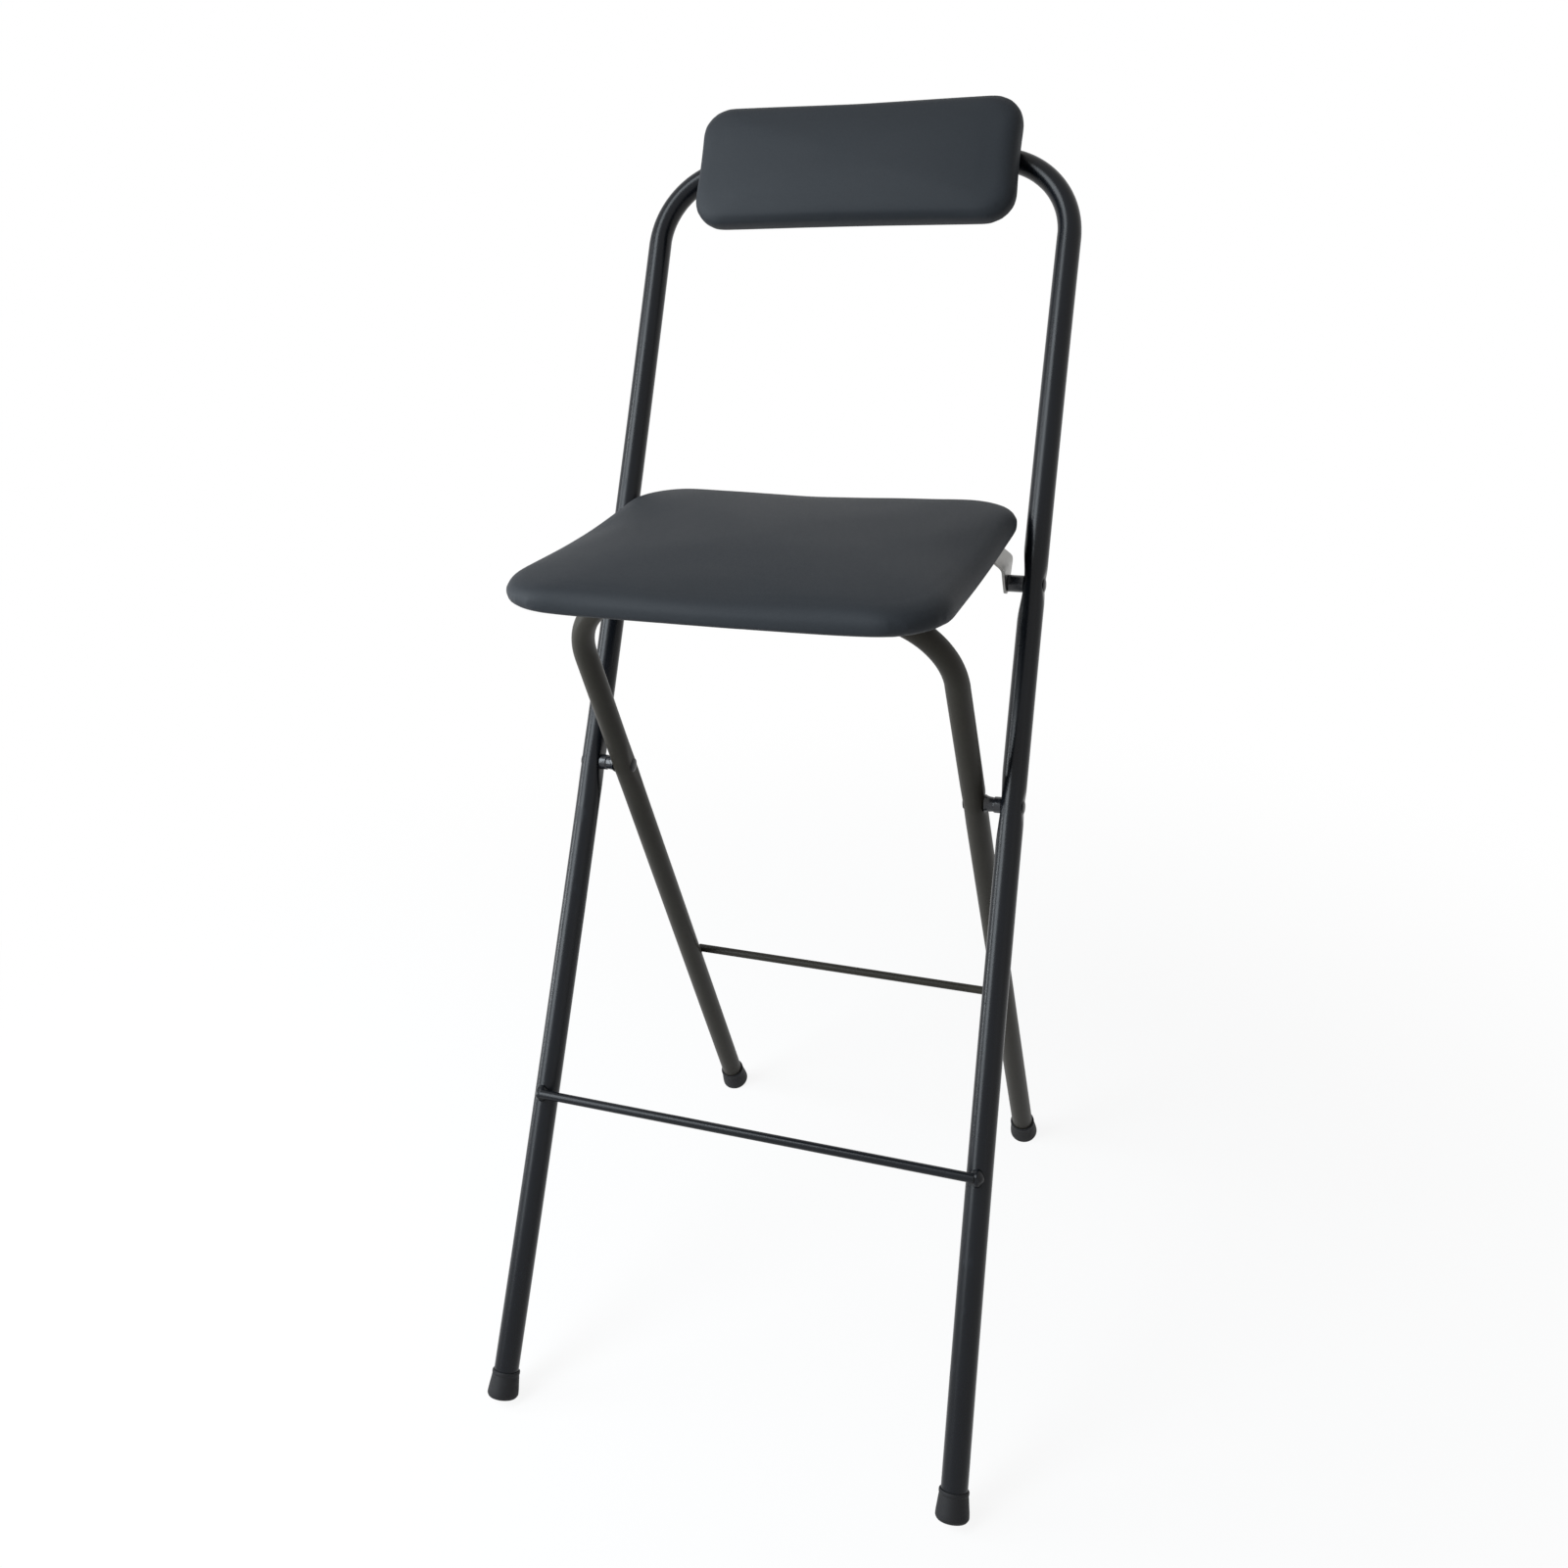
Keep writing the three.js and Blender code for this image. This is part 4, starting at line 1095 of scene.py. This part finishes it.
# Cushions
class CushionForm:
    """The sizes of one cushion, with its soft edges."""

    def __init__(self, cushions, kind, height):
        self.half_width = getattr(cushions, f"{kind}_width") / 2
        self.half_height = height / 2
        self.corner = getattr(cushions, f"{kind}_corner")
        self.edge = getattr(cushions, f"{kind}_edge")
        self.crown = getattr(cushions, f"{kind}_crown")
        self.roll = cushions.roll
        self.under_roll = cushions.under_roll
        self.draw_in = cushions.draw_in
        self.turn_in = cushions.turn_in
        self.pinch = cushions.pinch

    def outline(self, inset, share=1.0):
        """A rounded rectangle, anticlockwise, whose sides are drawn in between the corners."""
        corner_steps, side_steps = 12, 18
        corner = self.corner - inset * self.corner / self.half_height
        reach_x = self.half_width - inset - corner
        reach_y = self.half_height - inset - corner
        points = []
        for quarter in range(4):
            start = quarter * math.pi / 2
            centre_x = reach_x if quarter in (0, 3) else -reach_x
            centre = Vector((centre_x, reach_y if quarter < 2 else -reach_y))
            for step in range(corner_steps + 1):
                angle = start + step / corner_steps * math.pi / 2
                points.append(centre + corner * Vector((math.cos(angle), math.sin(angle))))
            outward = Vector((-math.sin(start), math.cos(start)))
            along = Vector((outward.y, -outward.x))
            run, rise = (reach_x, reach_y) if quarter % 2 == 0 else (reach_y, reach_x)
            for step in range(1, side_steps):
                place = 1 - 2 * step / side_steps
                reach = rise + corner - self.draw_in * (1 - place**2)
                points.append(outward * reach + along * place * run)
        return [point * share for point in points]

    def ring(self, inset, height, share=1.0):
        """A ring of the skin, its corners pressed thinner than its sides."""
        pinched_to = self.edge * 0.4
        ring = []
        for point in self.outline(inset, share):
            corner = (abs(point.x) / self.half_width * abs(point.y) / self.half_height) ** 3
            level = height + (pinched_to - height) * self.pinch * corner
            ring.append(Vector((point.x, point.y, level)))
        return ring

    def rings(self, ease=0.0, sink=0.0):
        """The whole skin from the middle of the top to the middle of the underside."""
        top_steps, roll_steps, under_steps = 14, 9, 7
        rings = []
        for step in range(1, top_steps + 1):
            share = step / top_steps
            rings.append(self.ring(self.roll, self.edge + self.crown * (1 - share**2) - sink, share))
        for step in range(1, roll_steps + 1):
            turn = step / roll_steps * math.pi / 2
            inset = self.roll - (self.roll + ease) * math.sin(turn)
            rings.append(self.ring(inset, self.edge - sink - (self.roll - sink) * (1 - math.cos(turn))))
        rings.append(self.ring(-ease, (self.edge - self.roll + self.under_roll) / 2))
        for step in range(under_steps + 1):
            turn = step / under_steps * math.pi / 2
            inset = (self.under_roll + ease) * (1 - math.cos(turn)) - ease
            rings.append(self.ring(inset, self.under_roll * (1 - math.sin(turn))))
        for share in (1, 0.75, 0.5, 0.25):
            rings.append(self.ring(self.turn_in, 0, share))
        return rings


def seat_form():
    """The seat's form."""
    cushions = bpy.context.scene.stool_cushions
    return CushionForm(cushions, "seat", cushions.seat_depth)


def pad_form():
    """The back rest's form."""
    cushions = bpy.context.scene.stool_cushions
    return CushionForm(cushions, "pad", cushions.pad_height)


def seat_cushion_plane():
    """The seat's underside, about its middle."""
    cushions = bpy.context.scene.stool_cushions
    middle = cushions.seat_overhang - cushions.seat_depth / 2
    return SEAT_PLANE @ Matrix.Translation((0, middle, cushions.seat_rise))


def pad_plane():
    """The back rest's rear, about its middle."""
    tubes = bpy.context.scene.stool_tubes
    place = bpy.context.scene.stool_cushions.pad_place
    return BACK_PLANE @ Matrix.Translation((0, place, tubes.upright_radius + PLATE_GAP))


CLOTH_SQUARE = 4.5 * MM
CLOTH_FRAMES = 20
# Light stiff cloth, held where it is stapled and blown up a little by the padding
CLOTH_SETTINGS = {
    "quality": 6,
    "mass": 0.2,
    "tension_stiffness": 30,
    "compression_stiffness": 30,
    "shear_stiffness": 12,
    "bending_stiffness": 12,
    "vertex_group_mass": "stapled",
    "use_pressure": True,
    "uniform_pressure_force": 4,
}


def made_real(holder):
    """The holder's mesh with its modifiers applied; the holder goes."""
    depsgraph = bpy.context.evaluated_depsgraph_get()
    mesh = bpy.data.meshes.new_from_object(holder.evaluated_get(depsgraph))
    bpy.data.objects.remove(holder)
    return mesh


def remeshed(mesh):
    """The mesh again in small even squares, as cloth."""
    holder = bpy.data.objects.new("cloth", mesh)
    bpy.context.scene.collection.objects.link(holder)
    grid = holder.modifiers.new("grid", "REMESH")
    grid.mode = "VOXEL"
    grid.voxel_size = CLOTH_SQUARE
    return made_real(holder)


def evened(mesh, moves, rounds=20):
    """The moves blended with those of their neighbours, so that the cover has no creases."""
    for _ in range(rounds):
        sums = [move.copy() for move in moves]
        counts = [1] * len(moves)
        for edge in mesh.edges:
            near, far = edge.vertices
            sums[near] += moves[far]
            sums[far] += moves[near]
            counts[near] += 1
            counts[far] += 1
        moves = [total / count for total, count in zip(sums, counts)]
    return moves


def swelled(mesh, form, limit):
    """The cover after the padding has pressed it outwards; its stapled underside stays flat."""
    under_height = 1 * MM
    cover = remeshed(mesh)
    holder = bpy.data.objects.new("cloth", cover)
    bpy.context.scene.collection.objects.link(holder)
    stapled = holder.vertex_groups.new(name="stapled")
    start = [vertex.co.copy() for vertex in cover.vertices]
    under = [
        index for index, point in enumerate(start)
        if point.z < under_height and abs(point.x) < form.half_width - form.under_roll
        and abs(point.y) < form.half_height - form.under_roll
    ]
    stapled.add(under, 1.0, "REPLACE")
    cloth = holder.modifiers.new("padding", "CLOTH")
    for name, value in CLOTH_SETTINGS.items():
        setattr(cloth.settings, name, value)
    cloth.settings.effector_weights.gravity = 0
    cloth.point_cache.frame_start, cloth.point_cache.frame_end = 1, CLOTH_FRAMES
    scene = bpy.context.scene
    for number in range(1, CLOTH_FRAMES + 1):
        scene.frame_set(number)
    pressed = made_real(holder)
    scene.frame_set(1)
    moves = []
    for vertex, before in zip(pressed.vertices, start):
        move = vertex.co - before
        moves.append(move.normalized() * min(move.length, limit))
    for vertex, before, move in zip(pressed.vertices, start, evened(pressed, moves)):
        vertex.co = before + move
    for index in under:
        pressed.vertices[index].co.z = start[index].z
    return pressed


def add_cushion(name, form, plane, body, nodes):
    """A padded cushion in its cover."""
    cushions = bpy.context.scene.stool_cushions
    cover = swelled(loft(name, form.rings(cushions.ease, cushions.sink)), form, cushions.swell)
    cover.name = name
    cover.transform(plane)
    piece = add_piece(name, cover, body, "vinyl", nodes, sharp=60)
    smooth = piece.modifiers.new("smooth", "SUBSURF")
    smooth.levels = smooth.render_levels = 1


def add_lining(name, form, plane, body, node):
    """The lining that closes a cushion's underside, stapled flat over the turned-in cover."""
    overlap, rows = 2 * MM, 10
    low, high = -0.15 * MM, 0.25 * MM
    wave, waves = 0.08 * MM, 40
    outline = form.outline(form.turn_in - overlap)

    def ring(row, level):
        points = [point * row / rows for point in outline]
        lifts = [wave * noise.noise(Vector((point.x * waves, point.y * waves, 3.0))) for point in points]
        return [Vector((point.x, point.y, level + lift)) for point, lift in zip(points, lifts)]

    outwards = range(1, rows + 1)
    rings = [ring(row, low) for row in outwards] + [ring(row, high) for row in reversed(outwards)]
    lining = add_piece(name, loft(name, rings, plane), body, "liner", [node])
    area = abs(sum(a.x * b.y - b.x * a.y for a, b in zip(outline, outline[1:] + outline[:1]))) / 2


def add_staples(name, form, plane, body, blocked):
    """A row of staples round the lining, left out where a fitting covers the edge."""
    spacing, crown, wire, sunk = 26 * MM, 9 * MM, 0.35 * MM, 0.1 * MM
    inset, skew = 1 * MM, 0.12
    outline = form.outline(form.turn_in + inset)
    shape = bmesh.new()
    pending = spacing / 2
    for start, end in zip(outline, outline[1:] + outline[:1]):
        run = end - start
        while run.length and pending <= run.length:
            spot = start + run.normalized() * pending
            along = run.normalized()
            if not blocked(spot):
                heading = math.atan2(along.y, along.x) + random.uniform(-skew, skew)
                lay = Matrix.Translation((spot.x, spot.y, -sunk)) @ Matrix.Rotation(heading, 4, "Z")
                staple = lay @ Matrix.Diagonal((crown, wire * 2, wire, 1))
                bmesh.ops.create_cube(shape, size=1, matrix=staple)
            pending += spacing
        pending -= run.length
    bmesh.ops.bevel(shape, geom=shape.edges, offset=0.08 * MM, segments=1, affect="EDGES")
    add_piece(name, to_mesh(name, shape, plane), body, "zinc")


class STOOL_OT_seat(bpy.types.Operator):
    """Upholsters the seat and closes its underside."""

    bl_idname = "stool.seat"
    bl_label = "Seat"

    def execute(self, context):
        form = seat_form()
        plane = seat_cushion_plane()
        add_cushion("seat_cushion", form, plane, "seat", ["seat_cover", "seat_foam"])
        add_lining("seat_lining", form, plane, "seat", "seat_liner")
        random.seed(11)
        bracket_x, bracket_half = 120 * MM, 32 * MM
        bracket_y = form.half_height - context.scene.stool_cushions.seat_overhang
        add_staples(
            "seat_staples", form, plane, "seat",
            lambda spot: abs(spot.x) > bracket_x and abs(spot.y - bracket_y) < bracket_half,
        )
        return {"FINISHED"}


class STOOL_OT_back_rest(bpy.types.Operator):
    """Upholsters the back rest and closes its rear."""

    bl_idname = "stool.back_rest"
    bl_label = "Back Rest"

    def execute(self, context):
        form = pad_form()
        plane = pad_plane()
        add_cushion("back_cushion", form, plane, "back_frame", ["back_cover", "back_foam"])
        add_lining("back_lining", form, plane, "back_frame", "back_liner")
        random.seed(7)
        bar_half = 19 * MM
        bar_y = context.scene.stool_tubes.top_bar_place - context.scene.stool_cushions.pad_place
        add_staples(
            "back_staples", form, plane, "back_frame", lambda spot: abs(spot.y - bar_y) < bar_half
        )
        return {"FINISHED"}


class STOOL_OT_boards(bpy.types.Operator):
    """Finishes the hidden boards and threaded inserts of the frame."""

    bl_idname = "stool.boards"
    bl_label = "Boards"

    def execute(self, context):
        slots = {
            "seat_board": "plywood",
            "back_board": "plywood",
            "back_insert_left": "zinc",
            "back_insert_right": "zinc",
        }
        for node, slot in slots.items():
            mesh = frame["nodes"][node].data
            mesh.materials.clear()
            mesh.materials.append(finish_of(slot))
        return {"FINISHED"}


# Studio
# Each lamp's place, size, colour and the point that it faces
LAMPS = {
    "window": ((-1.2, -1.3, 1.66), (1.0, 2.4), (0.86, 0.94, 1.0), (0, 0, 0.75)),
    "side": ((-1.9, -0.45, 1.0), (0.3, 1.9), (0.9, 0.96, 1.0), (0, 0, 0.7)),
    "fill": ((2.2, -1.4, 1.2), (1.4, 1.6), (1.0, 0.97, 0.93), (0, 0, 0.6)),
    "top": ((-0.3, 0.5, 2.6), (1.5, 1.5), (1.0, 0.97, 0.92), (0, 0, 0.6)),
}
FLOOR_HALF = 40.0
# From the stool's middle, where the floor starts to fade to plain white and where it ends
FADE_START, FADE_END = 0.35, 1.3
NEAR_WHITE = 0.9
WHITE = (1, 1, 1)


def add_lamp(name, power):
    """A soft area lamp that faces the stool."""
    place, size, colour, target = LAMPS[name]
    lamp = bpy.data.lights.new(name, "AREA")
    lamp.shape = "RECTANGLE"
    lamp.size, lamp.size_y = size
    lamp.energy = power
    lamp.color = colour
    holder = bpy.data.objects.new(name, lamp)
    holder.location = place
    holder.rotation_euler = (Vector(target) - Vector(place)).to_track_quat("-Z", "Y").to_euler()
    bpy.context.scene.collection.objects.link(holder)


def add_camera(studio):
    """The camera at the photograph's place, with the shift that its framing needs."""
    azimuth, elevation, roll = studio.camera_azimuth, studio.camera_elevation, studio.camera_roll
    level = Vector((math.cos(azimuth), math.sin(azimuth), 0))
    ahead = Vector((-math.sin(azimuth), math.cos(azimuth), 0))
    forward = ahead * math.cos(elevation) - Vector((0, 0, math.sin(elevation)))
    upright = level.cross(forward)
    right = level * math.cos(roll) + upright * math.sin(roll)
    up = upright * math.cos(roll) - level * math.sin(roll)
    lens = bpy.data.cameras.new("camera")
    lens.sensor_width = 36
    lens.lens = studio.lens
    lens.shift_x, lens.shift_y = studio.camera_shift
    lens.clip_start = 0.05
    lens.clip_end = 100
    camera = bpy.data.objects.new("camera", lens)
    turn = Matrix((right, up, -forward)).transposed().to_4x4()
    camera.matrix_world = Matrix.Translation(studio.camera_place) @ turn
    bpy.context.scene.collection.objects.link(camera)
    bpy.context.scene.camera = camera


def floor_finish(colour):
    """A pale floor that keeps the shadow near the stool and runs out to plain white."""
    surface = Surface(bpy.data.materials.new("studio_floor"))
    reach = surface.node(
        "ShaderNodeVectorMath", {"operation": "LENGTH"}, {0: surface.place()}, output="Value"
    )
    white_share = NEAR_WHITE + surface.between(reach, FADE_START, FADE_END) * (1 - NEAR_WHITE)
    matt = surface.node("ShaderNodeBsdfDiffuse", None, {"Color": opaque(colour)})
    white = surface.node("ShaderNodeEmission", None, {"Color": opaque(WHITE), "Strength": 1.0})
    seen_white = white_share * surface.seen()
    blend = surface.node("ShaderNodeMixShader", None, {0: seen_white, 1: matt, 2: white})
    surface.node("ShaderNodeOutputMaterial", None, {"Surface": blend})
    return surface.owner


def world_light(strength):
    """Even grey light, seen as white."""
    surface = Surface(bpy.data.worlds.new("studio"))
    even, white = (
        surface.node("ShaderNodeBackground", None, {"Color": opaque(WHITE), "Strength": level})
        for level in (strength, 1.0)
    )
    blend = surface.node("ShaderNodeMixShader", None, {0: surface.seen(), 1: even, 2: white})
    surface.node("ShaderNodeOutputWorld", None, {"Surface": blend})
    return surface.owner


class STOOL_OT_stage(bpy.types.Operator):
    """Sets the floor, the lamps and the camera."""

    bl_idname = "stool.stage"
    bl_label = "Studio"

    def execute(self, context):
        studio = context.scene.stool_studio
        context.scene.view_settings.view_transform = "Standard"
        shape = bmesh.new()
        bmesh.ops.create_grid(shape, x_segments=1, y_segments=1, size=FLOOR_HALF)
        floor = bpy.data.objects.new("studio_floor", to_mesh("studio_floor", shape))
        floor.data.materials.append(floor_finish(context.scene.stool_colours.floor))
        context.scene.collection.objects.link(floor)
        context.scene.world = world_light(studio.world_strength)
        for name in LAMPS:
            add_lamp(name, getattr(studio, f"{name}_power"))
        add_camera(studio)
        return {"FINISHED"}


class STOOL_PT_panel(bpy.types.Panel):
    """Lists the stool's sizes, colours and steps."""

    bl_idname = "STOOL_PT_panel"
    bl_label = "Folding Bar Stool"
    bl_space_type = "VIEW_3D"
    bl_region_type = "UI"
    bl_category = "Stool"

    def draw(self, context):
        for group in (name for name in PROPERTY_GROUPS if hasattr(context.scene, name)):
            settings = getattr(context.scene, group)
            box = self.layout.box()
            for name in settings.__annotations__:
                box.prop(settings, name)
        for operator in OPERATORS:
            self.layout.operator(operator.bl_idname)


PROPERTY_GROUPS = {
    "stool_tubes": StoolTubes,
    "stool_cushions": StoolCushions,
    "stool_colours": StoolColours,
    "stool_studio": StoolStudio,
}
OPERATORS = (
    STOOL_OT_stage,
    STOOL_OT_frame_tube,
    STOOL_OT_rear_tube,
    STOOL_OT_rods,
    STOOL_OT_caps,
    STOOL_OT_pivots,
    STOOL_OT_seat_hinges,
    STOOL_OT_saddles,
    STOOL_OT_fasteners,
    STOOL_OT_seat,
    STOOL_OT_back_rest,
    STOOL_OT_boards,
)
CLASSES = (*PROPERTY_GROUPS.values(), *OPERATORS, STOOL_PT_panel)


def register():
    """Registers the classes and hangs the settings on the scene."""
    for kind in CLASSES:
        bpy.utils.register_class(kind)
    for name, group in PROPERTY_GROUPS.items():
        setattr(bpy.types.Scene, name, PointerProperty(type=group))


def unregister():
    """Takes back what register did."""
    for name in PROPERTY_GROUPS:
        delattr(bpy.types.Scene, name)
    for kind in reversed(CLASSES):
        bpy.utils.unregister_class(kind)


def main():
    """Builds the studio and every group of pieces."""
    register()
    bpy.ops.stool.stage()
    bpy.ops.stool.frame_tube()
    bpy.ops.stool.rear_tube()
    bpy.ops.stool.rods()
    bpy.ops.stool.caps()
    bpy.ops.stool.pivots()
    bpy.ops.stool.seat_hinges()
    bpy.ops.stool.saddles()
    bpy.ops.stool.fasteners()
    bpy.ops.stool.seat()
    bpy.ops.stool.back_rest()
    bpy.ops.stool.boards()
    bpy.context.view_layer.update()


if __name__ == "__main__":
    main()
